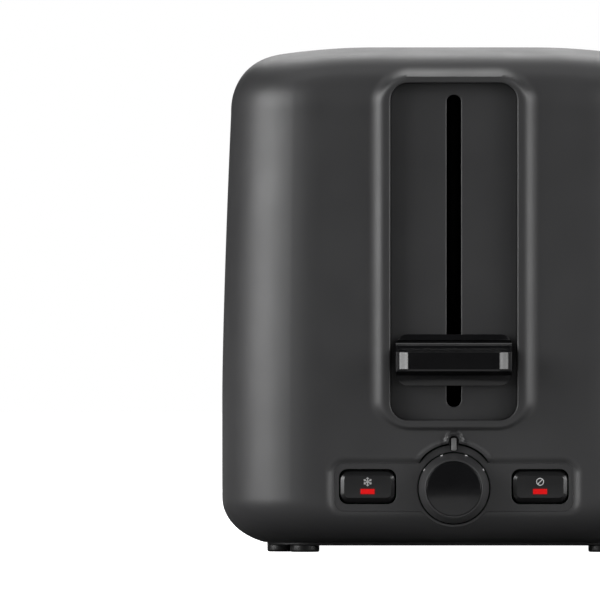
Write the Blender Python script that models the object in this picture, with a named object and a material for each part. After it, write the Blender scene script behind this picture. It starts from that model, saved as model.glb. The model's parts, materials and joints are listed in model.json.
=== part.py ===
"""Two-slice pop-up toaster, built from the separate pieces it is assembled from.

Metres, +Z up. The control face looks along -Y and the two bread slots run side by side
along Y. The origin is the middle of the bounding box, on the surface the feet stand on.
The lever is in its latched position, at the bottom of its travel.
"""
import math

import bmesh
import bpy

# Driving dimensions -------------------------------------------------------------------
GAP = 0.0003              # clearance between neighbouring pieces

HALF_WIDTH = 0.0949       # housing at its widest, just above the lower edge
HALF_DEPTH = 0.145
PLAN_RADIUS = 0.040       # vertical corners seen from above
WALL = 0.0028
HOUSING_FOOT_INSET = 0.017
LOWER_EDGE_TOP = 0.022    # height where the lower rounded edge meets the wall
LOWER_EDGE_WIDTH = 0.026
LOWER_EDGE_HEIGHT = 0.0193
TAPER_START = 0.065
TAPER_END = 0.179         # height where the upper rounded edge starts
TAPER_DEPTH = 0.0036
TAPER_POWER = 1.4
UPPER_EDGE_WIDTH = 0.030
UPPER_EDGE_HEIGHT = 0.026
UPPER_EDGE_POWER = 2.3
CROWN_WIDTH = 0.0294
CROWN_RISE = 0.0016

LEVER_REACH = 0.022       # lever beyond the front wall
REAR_REACH = 0.006        # crumb tray handle beyond the rear wall
BODY_Y = (LEVER_REACH - REAR_REACH) / 2
FRONT = -HALF_DEPTH
REAR = HALF_DEPTH

BASE_Z = 0.0027
BASE_TOP = 0.0063
FOOT_RADIUS = 0.006
SCREW_PLACE = (0.056, 0.110)
SHANK_RADIUS = 0.0016
HEAD_RADIUS = 0.0037

RECESS_HALF_WIDTH = 0.0259
RECESS_LOW = 0.0541
RECESS_HIGH = 0.1919
RECESS_RADIUS = 0.0073
RIM_WIDTH = 0.0033
RIM_SLOPE = 0.0057        # width of the bevel that runs from the rim back to the wall
RIM_PROUD = 0.0022
SURROUND_DEPTH = 0.009
RECESS_DEPTH = 0.0060     # rim face to recess floor
TRACK_THICKNESS = 0.0025
TRACK_SLOT_HALF = 0.00295
TRACK_SLOT_LOW = 0.0595
TRACK_SLOT_HIGH = 0.1870

CONTROL_Z = 0.0263        # height of the knob's axis
PANEL_Z = 0.02675
PANEL_HALF = (0.0488, 0.00985)
PANEL_RADIUS = 0.004
PANEL_SUNK = 0.0011
PANEL_THICKNESS = 0.0035
BOSS_RADIUS = 0.0164
KNOB_HOLE = 0.0147
KNOB_RADIUS = 0.0142
CAP_RADIUS = 0.0112
TAB_HALF = 0.0037
TAB_TOP = 0.0492
BUTTON_X = 0.0352
BUTTON_Z = 0.0270
POCKET_HALF = (0.0117, 0.00715)
BUTTON_HALF = (0.0113, 0.00675)
BUTTON_FACE_HALF = (0.0096, 0.00450)
LIGHT_HALF = (0.00315, 0.0012)
LIGHT_Z = 0.0250
PANEL_FRONT = FRONT + PANEL_SUNK

SLOT_X = 0.034            # centre lines of the bread slots
SLOT_Y = 0.007
SLOT_HALF = (0.015, 0.080)
FRAME_Y = (-0.086, 0.100)
FRAME_HALF_WIDTH = 0.060
FRAME_TOP = 0.196
CARRIAGE_Y = (-0.112, -0.110)
CARRIAGE_Z = (0.062, 0.096)
ROD_Y = -0.103
ROD_RADIUS = 0.003
RACK_Z = (0.050, 0.054)
GUARD_OFFSET = 0.007      # guard to slot centre line while gripping
BOARD_X = {"outer": 0.053, "inner": 0.012}
MAGNET_X = -0.020
CONTACTS_X = 0.021
SPRING_X = 0.020
TRAY_HALF_WIDTH = 0.050
TRAY_Z = (0.012, 0.020)
TRAY_Y = (-0.080, 0.141)
GLAND_X = 0.040
GLAND_Z = 0.034

ROUND_SEGMENTS = 20
CORNER_SEGMENTS = 4

# Colour, roughness and metallic value of each finish
FINISHES = {
    "satin_anthracite": ((0.040, 0.040, 0.042, 1), 0.45, 0.0),
    "gloss_black": ((0.006, 0.006, 0.007, 1), 0.08, 0.0),
    "matte_black": ((0.015, 0.015, 0.016, 1), 0.60, 0.0),
    "rubber_black": ((0.010, 0.010, 0.010, 1), 0.75, 0.0),
    "light_grey": ((0.400, 0.400, 0.400, 1), 0.50, 0.0),
    "red_lens": ((0.700, 0.010, 0.015, 1), 0.25, 0.0),
    "blackened_steel": ((0.020, 0.020, 0.021, 1), 0.50, 0.0),
    "bright_steel": ((0.600, 0.600, 0.600, 1), 0.30, 1.0),
    "galvanised_steel": ((0.450, 0.460, 0.470, 1), 0.45, 1.0),
    "mica": ((0.420, 0.360, 0.260, 1), 0.55, 0.0),
    "nichrome": ((0.300, 0.270, 0.240, 1), 0.40, 1.0),
    "copper": ((0.550, 0.220, 0.100, 1), 0.35, 1.0),
    "circuit_green": ((0.030, 0.120, 0.050, 1), 0.50, 0.0),
}


# Scene helpers ------------------------------------------------------------------------
def clear_scene():
    for item in list(bpy.data.objects):
        bpy.data.objects.remove(item, do_unlink=True)


def make_finish(piece_name, finish_name):
    colour, roughness, metallic = FINISHES[finish_name]
    material = bpy.data.materials.new(f"{piece_name}_{finish_name}")
    material.use_nodes = True
    shader = material.node_tree.nodes["Principled BSDF"]
    shader.inputs["Base Color"].default_value = colour
    shader.inputs["Roughness"].default_value = roughness
    shader.inputs["Metallic"].default_value = metallic
    material.diffuse_color = colour
    return material


def make_holder(name, place, parent=None):
    """An empty on a joint's axis, or at the middle of the body."""
    holder = bpy.data.objects.new(name, None)
    holder.location = place
    holder.empty_display_size = 0.01
    holder.parent = parent
    bpy.context.collection.objects.link(holder)
    return holder


def add_mesh_object(name, bm, holder):
    """Turn a bmesh in body coordinates into an object held by an empty."""
    if holder.parent:
        bmesh.ops.translate(bm, verts=bm.verts, vec=-holder.location)
    bmesh.ops.recalc_face_normals(bm, faces=bm.faces)
    mesh = bpy.data.meshes.new(name)
    bm.to_mesh(mesh)
    bm.free()
    item = bpy.data.objects.new(name, mesh)
    item.parent = holder
    bpy.context.collection.objects.link(item)
    return item


def add_piece(name, bm, finish_name, holder, smooth=False):
    item = add_mesh_object(name, bm, holder)
    item.data.materials.append(make_finish(name, finish_name))
    if smooth:
        item.data.shade_smooth()
        item.data.set_sharp_from_angle(angle=math.radians(35))
    return item


def combine(item, name, bm, holder, operation):
    """Add a Boolean with a hidden guide object."""
    guide = add_mesh_object(name, bm, holder)
    guide.hide_render = True
    guide.display_type = "WIRE"
    modifier = item.modifiers.new(name, "BOOLEAN")
    modifier.operation = operation
    modifier.object = guide


# Outlines, as lists of points that run anticlockwise -----------------------------------
def arc(centre, radius, start, end, segments):
    """Points along an arc, with both of its ends; angles in degrees."""
    points = []
    for step in range(segments + 1):
        angle = math.radians(start + (end - start) * step / segments)
        points.append((centre[0] + radius * math.cos(angle), centre[1] + radius * math.sin(angle)))
    return points


def circle(centre, radius, segments=ROUND_SEGMENTS):
    return arc(centre, radius, 0, 360, segments)[:-1]


def rectangle(low, high):
    return [(low[0], low[1]), (high[0], low[1]), (high[0], high[1]), (low[0], high[1])]


def rounded_rectangle(centre, half, radius, segments=CORNER_SEGMENTS):
    corners = ((1, 1, 0), (-1, 1, 90), (-1, -1, 180), (1, -1, 270))
    points = []
    for side_u, side_v, start in corners:
        middle = (centre[0] + side_u * (half[0] - radius), centre[1] + side_v * (half[1] - radius))
        points += arc(middle, radius, start, start + 90, segments)
    return points


def panel_outline(grow):
    """The control panel: a bar with a round boss behind the knob and a tab above it."""
    half_u = PANEL_HALF[0] + grow
    low = PANEL_Z - PANEL_HALF[1] - grow
    high = PANEL_Z + PANEL_HALF[1] + grow
    radius = PANEL_RADIUS + grow
    boss = BOSS_RADIUS + grow
    tab = TAB_HALF + grow
    centre = (0, CONTROL_Z)
    upper = math.degrees(math.asin((high - CONTROL_Z) / boss))
    lower = math.degrees(math.asin((CONTROL_Z - low) / boss))
    tab_angle = math.degrees(math.acos(tab / boss))
    right_ends = [(half_u - radius, low + radius), (half_u - radius, high - radius)]
    points = arc(right_ends[0], radius, 270, 360, CORNER_SEGMENTS)
    points += arc(right_ends[1], radius, 0, 90, CORNER_SEGMENTS)
    points += arc(centre, boss, upper, tab_angle, 3)
    points += [(tab, TAB_TOP + grow), (-tab, TAB_TOP + grow)]
    points += arc(centre, boss, 180 - tab_angle, 180 - upper, 3)
    points += arc((-right_ends[1][0], right_ends[1][1]), radius, 90, 180, CORNER_SEGMENTS)
    points += arc((-right_ends[0][0], right_ends[0][1]), radius, 180, 270, CORNER_SEGMENTS)
    points += arc(centre, boss, 180 + lower, 360 - lower, 10)
    return points


# Solids, each returned as a bmesh in body coordinates ----------------------------------
def to_plane(plane, u, v, depth):
    """Place an outline point: XY outlines stack along Z, XZ along Y and YZ along X."""
    if plane == "XY":
        return (u, v, depth)
    if plane == "XZ":
        return (u, depth, v)
    return (depth, u, v)


def prism(plane, outline, near, far, holes=(), lean=None):
    """Extrude an outline with holes from one level to another.

    lean, where given, moves each point in depth by a function of its height.
    """
    bm = bmesh.new()
    loops = []
    edges = []
    for points in (outline, *holes):
        verts = [bm.verts.new((u, v, 0)) for u, v in points]
        edges += [bm.edges.new((a, b)) for a, b in zip(verts, verts[1:] + verts[:1])]
        loops.append(verts)
    bmesh.ops.triangle_fill(bm, use_beauty=True, use_dissolve=False, edges=edges)
    copies = {vert: bm.verts.new(vert.co) for vert in list(bm.verts)}
    for face in list(bm.faces):
        bm.faces.new([copies[vert] for vert in reversed(face.verts)])
    for verts in loops:
        for a, b in zip(verts, verts[1:] + verts[:1]):
            bm.faces.new((a, b, copies[b], copies[a]))
    for vert, copy in copies.items():
        u, v = vert.co.x, vert.co.y
        shift = lean(v) if lean else 0
        vert.co = to_plane(plane, u, v, near + shift)
        copy.co = to_plane(plane, u, v, far + shift)
    return bm


def loft(rings):
    """Skin a run of rings with equal numbers of points and cap the first and the last."""
    bm = bmesh.new()
    ring_verts = [[bm.verts.new(point) for point in ring] for ring in rings]
    for lower, upper in zip(ring_verts, ring_verts[1:]):
        for i in range(len(lower)):
            j = (i + 1) % len(lower)
            bm.faces.new((lower[i], lower[j], upper[j], upper[i]))
    bm.faces.new(ring_verts[0])
    bm.faces.new(ring_verts[-1])
    return bm


def lathe(axis, centre, profile, segments=ROUND_SEGMENTS):
    """Turn a profile of (radius, depth) points round Y or Z through a centre.

    A profile that starts and ends on the axis is solid; any other closes on itself.
    """
    bm = bmesh.new()
    rings = []
    for radius, depth in profile:
        count = segments if radius > 0 else 1
        ring = []
        for u, v in circle(centre, radius, segments)[:count] if radius > 0 else [centre]:
            ring.append(bm.verts.new((u, depth, v) if axis == "Y" else (u, v, depth)))
        rings.append(ring)
    pairs = list(zip(rings, rings[1:]))
    if profile[0][0] > 0:
        pairs.append((rings[-1], rings[0]))
    for first, second in pairs:
        for i in range(segments):
            j = (i + 1) % segments
            corners = [first[i % len(first)], first[j % len(first)]]
            corners += [second[j % len(second)], second[i % len(second)]]
            bm.faces.new(list(dict.fromkeys(corners)))
    return bm


def box(low, high):
    return prism("XY", rectangle(low[:2], high[:2]), low[2], high[2])


def round_bar(axis, centre, radius, start, end, segments=ROUND_SEGMENTS):
    return lathe(axis, centre, [(0, start), (radius, start), (radius, end), (0, end)], segments)


def joined(parts):
    """Put separate closed cutters into one mesh."""
    bm = bmesh.new()
    for part in parts:
        mesh = bpy.data.meshes.new("cutter_part")
        bmesh.ops.recalc_face_normals(part, faces=part.faces)
        part.to_mesh(mesh)
        part.free()
        bm.from_mesh(mesh)
        bpy.data.meshes.remove(mesh)
    return bm


def mirrored_places(u, v):
    """The four corners at plus and minus u and v, with a name for each."""
    for depth_name, side_v in (("front", -1), ("rear", 1)):
        for side_name, side_u in (("left", -1), ("right", 1)):
            yield f"{depth_name}_{side_name}", side_u * u, side_v * v


# Housing ------------------------------------------------------------------------------
def taper(z):
    """How far the wall leans in at a height, on the line that the rim keeps to."""
    if z <= TAPER_START:
        return 0
    return TAPER_DEPTH * ((z - TAPER_START) / (TAPER_END - TAPER_START)) ** TAPER_POWER


def housing_profile():
    """Inset and height of the housing's outer surface, from its foot to the crown."""
    points = []
    foot_angle = math.acos(1 - HOUSING_FOOT_INSET / LOWER_EDGE_WIDTH)
    for step in range(5):
        angle = foot_angle * (1 - step / 5)
        inset = LOWER_EDGE_WIDTH * (1 - math.cos(angle))
        points.append((inset, LOWER_EDGE_TOP - LOWER_EDGE_HEIGHT * math.sin(angle)))
    for z in (LOWER_EDGE_TOP, TAPER_START, 0.095, 0.125, 0.155):
        points.append((taper(z), z))
    for step in range(7):
        angle = math.radians(90 * step / 6)
        along = math.cos(angle) ** (2 / UPPER_EDGE_POWER) if step < 6 else 0
        rise = math.sin(angle) ** (2 / UPPER_EDGE_POWER)
        inset = TAPER_DEPTH + UPPER_EDGE_WIDTH * (1 - along)
        points.append((inset, TAPER_END + UPPER_EDGE_HEIGHT * rise))
    edge_inset, edge_z = points[-1]
    for share in (0.5, 1):
        rise = CROWN_RISE * (1 - (1 - share) ** 2)
        points.append((edge_inset + CROWN_WIDTH * share, edge_z + rise))
    return points


def inner_profile(profile):
    """The same profile moved inwards by the wall thickness."""
    points = []
    for i, (inset, z) in enumerate(profile):
        before = profile[max(i - 1, 0)]
        after = profile[min(i + 1, len(profile) - 1)]
        along = (after[0] - before[0], after[1] - before[1])
        length = math.hypot(*along)
        points.append((inset + WALL * along[1] / length, z - WALL * along[0] / length))
    return points


def plan_ring(inset, z):
    radius = max(PLAN_RADIUS - inset, 0.004)
    half = (HALF_WIDTH - inset, HALF_DEPTH - inset)
    return [(x, y, z) for x, y in rounded_rectangle((0, 0), half, radius, 6)]


def rim_ring(offset, depth):
    """A ring of the lever recess's surround: an offset from the recess outline."""
    centre = (0, (RECESS_LOW + RECESS_HIGH) / 2)
    half = (RECESS_HALF_WIDTH + offset, (RECESS_HIGH - RECESS_LOW) / 2 + offset)
    outline = rounded_rectangle(centre, half, RECESS_RADIUS + offset)
    return [(x, FRONT + taper(z) + depth, z) for x, z in outline]


def recess_outline(offset):
    return [(x, z) for x, _, z in rim_ring(offset, 0)]


def screw_posts():
    """Four long posts that hang from the roof and take the base screws."""
    posts = []
    for _, x, y in mirrored_places(*SCREW_PLACE):
        posts.append(round_bar("Z", (x, y), 0.0045, BASE_TOP + GAP, 0.2035, 12))
    return joined(posts)


def housing_openings():
    """Cutters for the bread slots, the tray's opening, the post bores and the gland."""
    cutters = []
    for side in (-1, 1):
        outline = rounded_rectangle((side * SLOT_X, SLOT_Y), SLOT_HALF, 0.0033)
        cutters.append(prism("XY", outline, 0.195, 0.215))
    tray_half = TRAY_HALF_WIDTH + 0.0015
    cutters.append(box((-tray_half, 0.120, 0.0105), (tray_half, 0.160, 0.0235)))
    for _, x, y in mirrored_places(*SCREW_PLACE):
        cutters.append(round_bar("Z", (x, y), SHANK_RADIUS + GAP, 0.001, 0.018, 12))
    cutters.append(round_bar("Y", (GLAND_X, GLAND_Z), 0.0059, 0.130, 0.155))
    return joined(cutters)


def build_housing(body):
    outer = housing_profile()
    inner = inner_profile(outer)
    rings = [plan_ring(*point) for point in reversed(inner)]
    rings += [plan_ring(*point) for point in outer]
    housing = add_piece("outer_housing", loft(rings), "satin_anthracite", body, smooth=True)
    rim = RIM_WIDTH + RIM_SLOPE
    surround = loft([rim_ring(rim, SURROUND_DEPTH), rim_ring(rim, -GAP), rim_ring(RIM_WIDTH, -RIM_PROUD)])
    combine(housing, "surround_guide", surround, body, "UNION")
    combine(housing, "post_guide", screw_posts(), body, "UNION")
    window = prism("XZ", recess_outline(GAP), FRONT - 0.01, FRONT + 0.02)
    combine(housing, "recess_cutter", window, body, "DIFFERENCE")
    panel = prism("XZ", panel_outline(GAP), FRONT - 0.005, FRONT + 0.0155)
    combine(housing, "panel_cutter", panel, body, "DIFFERENCE")
    combine(housing, "opening_cutter", housing_openings(), body, "DIFFERENCE")


def build_base(body):
    inset = HOUSING_FOOT_INSET + 0.0013
    half = (HALF_WIDTH - inset, HALF_DEPTH - inset)
    outline = rounded_rectangle((0, 0), half, PLAN_RADIUS - inset, 6)
    plate = prism("XY", outline, BASE_Z, BASE_TOP)
    base = add_piece("base_plate", plate, "matte_black", body)
    wells = []
    for _, x, y in mirrored_places(*SCREW_PLACE):
        bore = SHANK_RADIUS + GAP
        well = HEAD_RADIUS + GAP
        floor = BASE_Z + 0.002
        profile = [(0, 0), (well, 0), (well, floor), (bore, floor), (bore, 0.01), (0, 0.01)]
        wells.append(lathe("Z", (x, y), profile, 16))
    combine(base, "well_cutter", joined(wells), body, "DIFFERENCE")


def build_screws(body):
    head = BASE_Z + GAP
    neck = BASE_Z + 0.0017
    profile = [(0, head), (HEAD_RADIUS, head), (HEAD_RADIUS, neck), (SHANK_RADIUS, neck)]
    profile += [(SHANK_RADIUS, 0.015), (0, 0.015)]
    for name, x, y in mirrored_places(*SCREW_PLACE):
        add_piece(f"base_screw_{name}", lathe("Z", (x, y), profile, 14), "bright_steel", body, smooth=True)


def build_feet(body):
    """Two round pads at each corner, set side by side along the rounded plan."""
    top = BASE_Z - GAP
    profile = [(0, 0), (FOOT_RADIUS - 0.0008, 0), (FOOT_RADIUS, 0.0008), (FOOT_RADIUS, top), (0, top)]
    for pad, x_place, y_place in (("inner", 0.061, 0.118), ("outer", 0.0704, 0.106)):
        for name, x, y in mirrored_places(x_place, y_place):
            add_piece(f"foot_{name}_{pad}", lathe("Z", (x, y), profile), "rubber_black", body, smooth=True)


# Front: lever recess, lever and controls -----------------------------------------------
def build_track_plate(body):
    front = FRONT - RIM_PROUD + RECESS_DEPTH
    slot_centre = (0, (TRACK_SLOT_LOW + TRACK_SLOT_HIGH) / 2)
    slot_half = (TRACK_SLOT_HALF, (TRACK_SLOT_HIGH - TRACK_SLOT_LOW) / 2)
    slot = rounded_rectangle(slot_centre, slot_half, TRACK_SLOT_HALF * 0.98)
    plate = prism("XZ", recess_outline(0), front, front + TRACK_THICKNESS, [slot], taper)
    add_piece("lever_track_plate", plate, "satin_anthracite", body)


def build_lever(carriage_holder):
    back = FRONT - RIM_PROUD + RECESS_DEPTH - 0.001
    plate_front = back - 0.003
    tip = FRONT - LEVER_REACH
    shelf = [(tip, 0.0746), (tip, 0.0821), (tip + 0.007, 0.0826), (plate_front - 0.003, 0.0845)]
    plate = [(plate_front, 0.0850), (plate_front, 0.0894), (back, 0.0894), (back, 0.0682)]
    underside = [(plate_front, 0.0682), (plate_front, 0.0728), (tip + 0.007, 0.0736)]
    grip = prism("YZ", shelf + plate + underside, -0.0238, 0.0238)
    add_piece("lever_grip", grip, "gloss_black", carriage_holder)
    arm = box((-0.0018, back + GAP, 0.075), (0.0018, CARRIAGE_Y[0] - GAP, 0.083))
    add_piece("lever_arm", arm, "bright_steel", carriage_holder)


def build_fascia(body):
    holes = [circle((0, CONTROL_Z), KNOB_HOLE, 32)]
    for side in (-1, 1):
        holes.append(rounded_rectangle((side * BUTTON_X, BUTTON_Z), POCKET_HALF, 0.0035))
    plate = prism("XZ", panel_outline(0), PANEL_FRONT, PANEL_FRONT + PANEL_THICKNESS, holes)
    add_piece("control_fascia", plate, "satin_anthracite", body)
    index = rounded_rectangle((0, 0.04435), (0.0012, 0.00255), 0.0011)
    mark = prism("XZ", index, PANEL_FRONT - 0.0025, PANEL_FRONT - GAP)
    add_piece("knob_index", mark, "light_grey", body)


def build_knob(knob_holder):
    front = PANEL_FRONT - 0.0115
    back = PANEL_FRONT + 0.0055
    bore = ROD_RADIUS + 0.0004
    centre = (0, CONTROL_Z)
    ring = [(bore, back), (KNOB_RADIUS, back), (KNOB_RADIUS, PANEL_FRONT - 0.0008)]
    ring += [(0.0119, front), (0.0116, front), (0.0116, front + 0.0015), (bore, front + 0.0015)]
    add_piece("browning_knob", lathe("Y", centre, ring, 32), "satin_anthracite", knob_holder, smooth=True)
    cap = round_bar("Y", centre, CAP_RADIUS, front - 0.0008, front + 0.0012, 32)
    add_piece("knob_cap", cap, "gloss_black", knob_holder, smooth=True)
    shaft = round_bar("Y", centre, ROD_RADIUS, front + 0.0018, FRONT + 0.0137, 16)
    add_piece("potentiometer_shaft", shaft, "bright_steel", knob_holder, smooth=True)


def build_button(name, side, holder):
    centre = (side * BUTTON_X, BUTTON_Z)

    def ring(half, radius, y):
        return [(x, y, z) for x, z in rounded_rectangle(centre, half, radius)]

    back = FRONT + 0.0125
    face = PANEL_FRONT - 0.0008
    shoulder = face + 0.0030
    rings = [ring(BUTTON_HALF, 0.0031, back), ring(BUTTON_HALF, 0.0031, shoulder)]
    rings.append(ring(BUTTON_FACE_HALF, 0.0020, face))
    button = add_piece(f"{name}_button", loft(rings), "matte_black", holder)
    seat = (LIGHT_HALF[0] + GAP, LIGHT_HALF[1] + GAP)
    low = (centre[0] - seat[0], face - 0.002, LIGHT_Z - seat[1])
    high = (centre[0] + seat[0], face + 0.004, LIGHT_Z + seat[1])
    combine(button, f"{name}_light_cutter", box(low, high), holder, "DIFFERENCE")
    lens = rounded_rectangle((centre[0], LIGHT_Z), LIGHT_HALF, 0.0003, 1)
    add_piece(f"{name}_light", prism("XZ", lens, face, face + 0.0035), "red_lens", holder)


def build_electronics(body):
    board_front = FRONT + 0.023
    board = box((-0.048, board_front, 0.014), (0.048, board_front + 0.0016, 0.044))
    add_piece("circuit_board", board, "circuit_green", body)
    low = (-0.008, FRONT + 0.014, CONTROL_Z - 0.008)
    high = (0.008, board_front - GAP, CONTROL_Z + 0.008)
    add_piece("potentiometer", box(low, high), "galvanised_steel", body)
    for name, side in (("defrost", -1), ("stop", 1)):
        x = side * BUTTON_X
        rings = []
        for half, depth in ((0.003, 0.0227), (0.003, 0.0185), (0.0015, 0.0185), (0.0015, 0.0155)):
            outline = rounded_rectangle((x, BUTTON_Z), (half, half), half * 0.9, 3)
            rings.append([(u, FRONT + depth, v) for u, v in outline])
        add_piece(f"{name}_switch", loft(rings), "matte_black", body)


# Inside: carriage, magnet, frames and heaters ------------------------------------------
def build_carriage(carriage_holder):
    front, back = CARRIAGE_Y
    block = [(0.008, back), (0.008, -0.096), (-0.028, -0.096), (-0.028, back)]
    outline = [(-0.042, front), (0.042, front), (0.042, back)] + block + [(-0.042, back)]
    bore = circle((0, ROD_Y), ROD_RADIUS + 0.0004)
    slider = prism("XY", outline, CARRIAGE_Z[0], CARRIAGE_Z[1], [bore])
    add_piece("carriage", slider, "blackened_steel", carriage_holder)
    keeper_top = CARRIAGE_Z[0] - GAP
    keeper = box((MAGNET_X - 0.007, -0.109, keeper_top - 0.0017), (MAGNET_X + 0.007, -0.097, keeper_top))
    add_piece("keeper_plate", keeper, "bright_steel", carriage_holder)


def build_racks(carriage_holder):
    """A toothed bar under each slice, with an upright that meets the carriage."""
    riser_front = CARRIAGE_Y[1] + GAP
    riser_back = riser_front + 0.002
    end = FRAME_Y[1] + 0.008
    low, high = RACK_Z
    teeth = []
    tooth_count = 15
    first, last = -0.078, 0.094
    for i in range(tooth_count):
        y = last - (last - first) * i / (tooth_count - 1)
        teeth += [(y + 0.003, high - 0.0015), (y, high)]
    outline = [(riser_front, low), (end, low), (end, high - 0.0015)] + teeth
    outline += [(riser_back, high - 0.0015), (riser_back, 0.092), (riser_front, 0.092)]
    for name, side in (("left", -1), ("right", 1)):
        rack = prism("YZ", outline, side * SLOT_X - 0.0035, side * SLOT_X + 0.0035)
        add_piece(f"rack_{name}", rack, "bright_steel", carriage_holder)


def build_lift_spring(carriage_holder):
    """A tension spring from the carriage's foot up to the roof, drawn as a helix."""
    turns, steps, sides = 12, 10, 5
    radius, wire = 0.0032, 0.0005
    low, high = 0.0585, 0.1980
    rings = []
    for i in range(turns * steps + 1):
        share = i / (turns * steps)
        angle = 2 * math.pi * turns * share
        z = low + (high - low) * share
        ring = []
        for u, v in circle((radius, 0), wire, sides):
            ring.append((SPRING_X + u * math.cos(angle), ROD_Y + u * math.sin(angle), z + v))
        rings.append(ring)
    add_piece("lift_spring", loft(rings), "bright_steel", carriage_holder, smooth=True)


def build_magnet(body):
    core = box((MAGNET_X - 0.004, -0.107, BASE_TOP + GAP), (MAGNET_X + 0.004, -0.099, 0.0594))
    add_piece("magnet_core", core, "galvanised_steel", body)
    outer = rounded_rectangle((MAGNET_X, -0.103), (0.010, 0.0085), 0.003)
    hole = rounded_rectangle((MAGNET_X, -0.103), (0.0045, 0.0045), 0.0003, 1)
    add_piece("magnet_coil", prism("XY", outer, 0.030, 0.054, [hole]), "copper", body)


def build_contacts(body):
    """A block with two upright blades that the carriage closes at the bottom."""
    blade_low, blade_high = 0.046, 0.060
    outline = [(CONTACTS_X - 0.007, BASE_TOP + GAP), (CONTACTS_X + 0.007, BASE_TOP + GAP)]
    outline.append((CONTACTS_X + 0.007, blade_low))
    for x in (CONTACTS_X + 0.004, CONTACTS_X - 0.004):
        outline += [(x + 0.0005, blade_low), (x + 0.0005, blade_high)]
        outline += [(x - 0.0005, blade_high), (x - 0.0005, blade_low)]
    outline.append((CONTACTS_X - 0.007, blade_low))
    add_piece("mains_contacts", prism("XZ", outline, -0.118, -0.108), "mica", body)


def build_guide_rod(body):
    rod = round_bar("Z", (0, ROD_Y), ROD_RADIUS, BASE_TOP + GAP, 0.2010)
    add_piece("guide_rod", rod, "blackened_steel", body, smooth=True)


def build_frames(body):
    """Upright sheets before and behind the slots, notched over the crumb tray."""
    leg = TRAY_HALF_WIDTH + 0.002
    notch_top = 0.024
    low = BASE_TOP + GAP
    wide = FRAME_HALF_WIDTH
    outline = [(-wide, low), (-leg, low), (-leg, notch_top), (leg, notch_top), (leg, low)]
    outline += [(wide, low), (wide, FRAME_TOP), (-wide, FRAME_TOP)]
    slots = []
    for side in (-1, 1):
        slots.append(rectangle((side * SLOT_X - 0.005, 0.047), (side * SLOT_X + 0.005, 0.160)))
    for name, y in zip(("front", "rear"), FRAME_Y):
        sheet = prism("XZ", outline, y - 0.0005, y + 0.0005, slots)
        add_piece(f"{name}_frame", sheet, "blackened_steel", body)


def build_reflectors(body):
    low_y = FRAME_Y[0] + 0.0005 + GAP
    high_y = FRAME_Y[1] - 0.0005 - GAP
    for name, side in (("left", -1), ("right", 1)):
        inner, outer = sorted((side * 0.0574, side * 0.0582))
        sheet = box((inner, low_y, 0.014), (outer, high_y, 0.190))
        add_piece(f"reflector_{name}", sheet, "galvanised_steel", body)


def meander(first, last, low, high, runs, half):
    """A ribbon that runs up and down, as one outline round its middle line."""
    pitch = (last - first) / (runs - 1)
    path = []
    for i in range(runs):
        y = first + pitch * i
        path += [(y, low), (y, high)] if i % 2 == 0 else [(y, high), (y, low)]
    normals = []
    for (y0, z0), (y1, z1) in zip(path, path[1:]):
        length = math.hypot(y1 - y0, z1 - z0)
        normals.append(((z0 - z1) / length, (y1 - y0) / length))
    left = []
    right = []
    for i, (y, z) in enumerate(path):
        meeting = {normals[max(i - 1, 0)], normals[min(i, len(normals) - 1)]}
        across = (half * sum(n[0] for n in meeting), half * sum(n[1] for n in meeting))
        left.append((y + across[0], z + across[1]))
        right.append((y - across[0], z - across[1]))
    return left + right[::-1]


def build_heaters(body):
    """Mica boards on both sides of each slot, each with a ribbon on its bread side."""
    low_y, high_y = FRAME_Y[0] + 0.002, FRAME_Y[1] - 0.002
    ribbon = meander(low_y + 0.008, high_y - 0.008, 0.046, 0.162, 12, 0.0013)
    for side_name, side in (("left", -1), ("right", 1)):
        for place, x in BOARD_X.items():
            board = box((side * x - 0.0005, low_y, 0.036), (side * x + 0.0005, high_y, 0.172))
            add_piece(f"heater_board_{side_name}_{place}", board, "mica", body)
            facing = 1 if x < SLOT_X else -1
            near = side * (x + facing * 0.0009)
            far = side * (x + facing * 0.0013)
            strip = prism("YZ", ribbon, min(near, far), max(near, far))
            add_piece(f"heating_element_{side_name}_{place}", strip, "nichrome", body)


def build_guards(holders):
    """Wire grids that close on the slices; each is one lattice of thin bars."""
    low, high = (FRAME_Y[0] + 0.003, 0.044), (FRAME_Y[1] - 0.003, 0.178)
    columns, rows, bar = 6, 5, 0.0008
    step_y = (high[0] - low[0]) / columns
    step_z = (high[1] - low[1]) / rows
    windows = []
    for column in range(columns):
        for row in range(rows):
            start = (low[0] + step_y * column + bar, low[1] + step_z * row + bar)
            end = (low[0] + step_y * (column + 1) - bar, low[1] + step_z * (row + 1) - bar)
            windows.append(rectangle(start, end))
    for (side_name, place), (side, offset, holder) in holders.items():
        x = side * (SLOT_X + offset)
        outline = rectangle((low[0] - bar, low[1] - bar), (high[0] + bar, high[1] + bar))
        grid = prism("YZ", outline, x - bar, x + bar, windows)
        add_piece(f"bread_guard_{side_name}_{place}", grid, "bright_steel", holder)


def build_slot_collars(body):
    outer_half = (SLOT_HALF[0] - GAP, SLOT_HALF[1] - GAP)
    inner_half = (SLOT_HALF[0] - 0.0011, SLOT_HALF[1] - 0.0011)
    for name, side in (("left", -1), ("right", 1)):
        outer = rounded_rectangle((side * SLOT_X, SLOT_Y), outer_half, 0.003)
        inner = rounded_rectangle((side * SLOT_X, SLOT_Y), inner_half, 0.0022)
        collar = prism("XY", outer, 0.188, 0.2045, [inner])
        add_piece(f"slot_collar_{name}", collar, "bright_steel", body, smooth=True)


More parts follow.
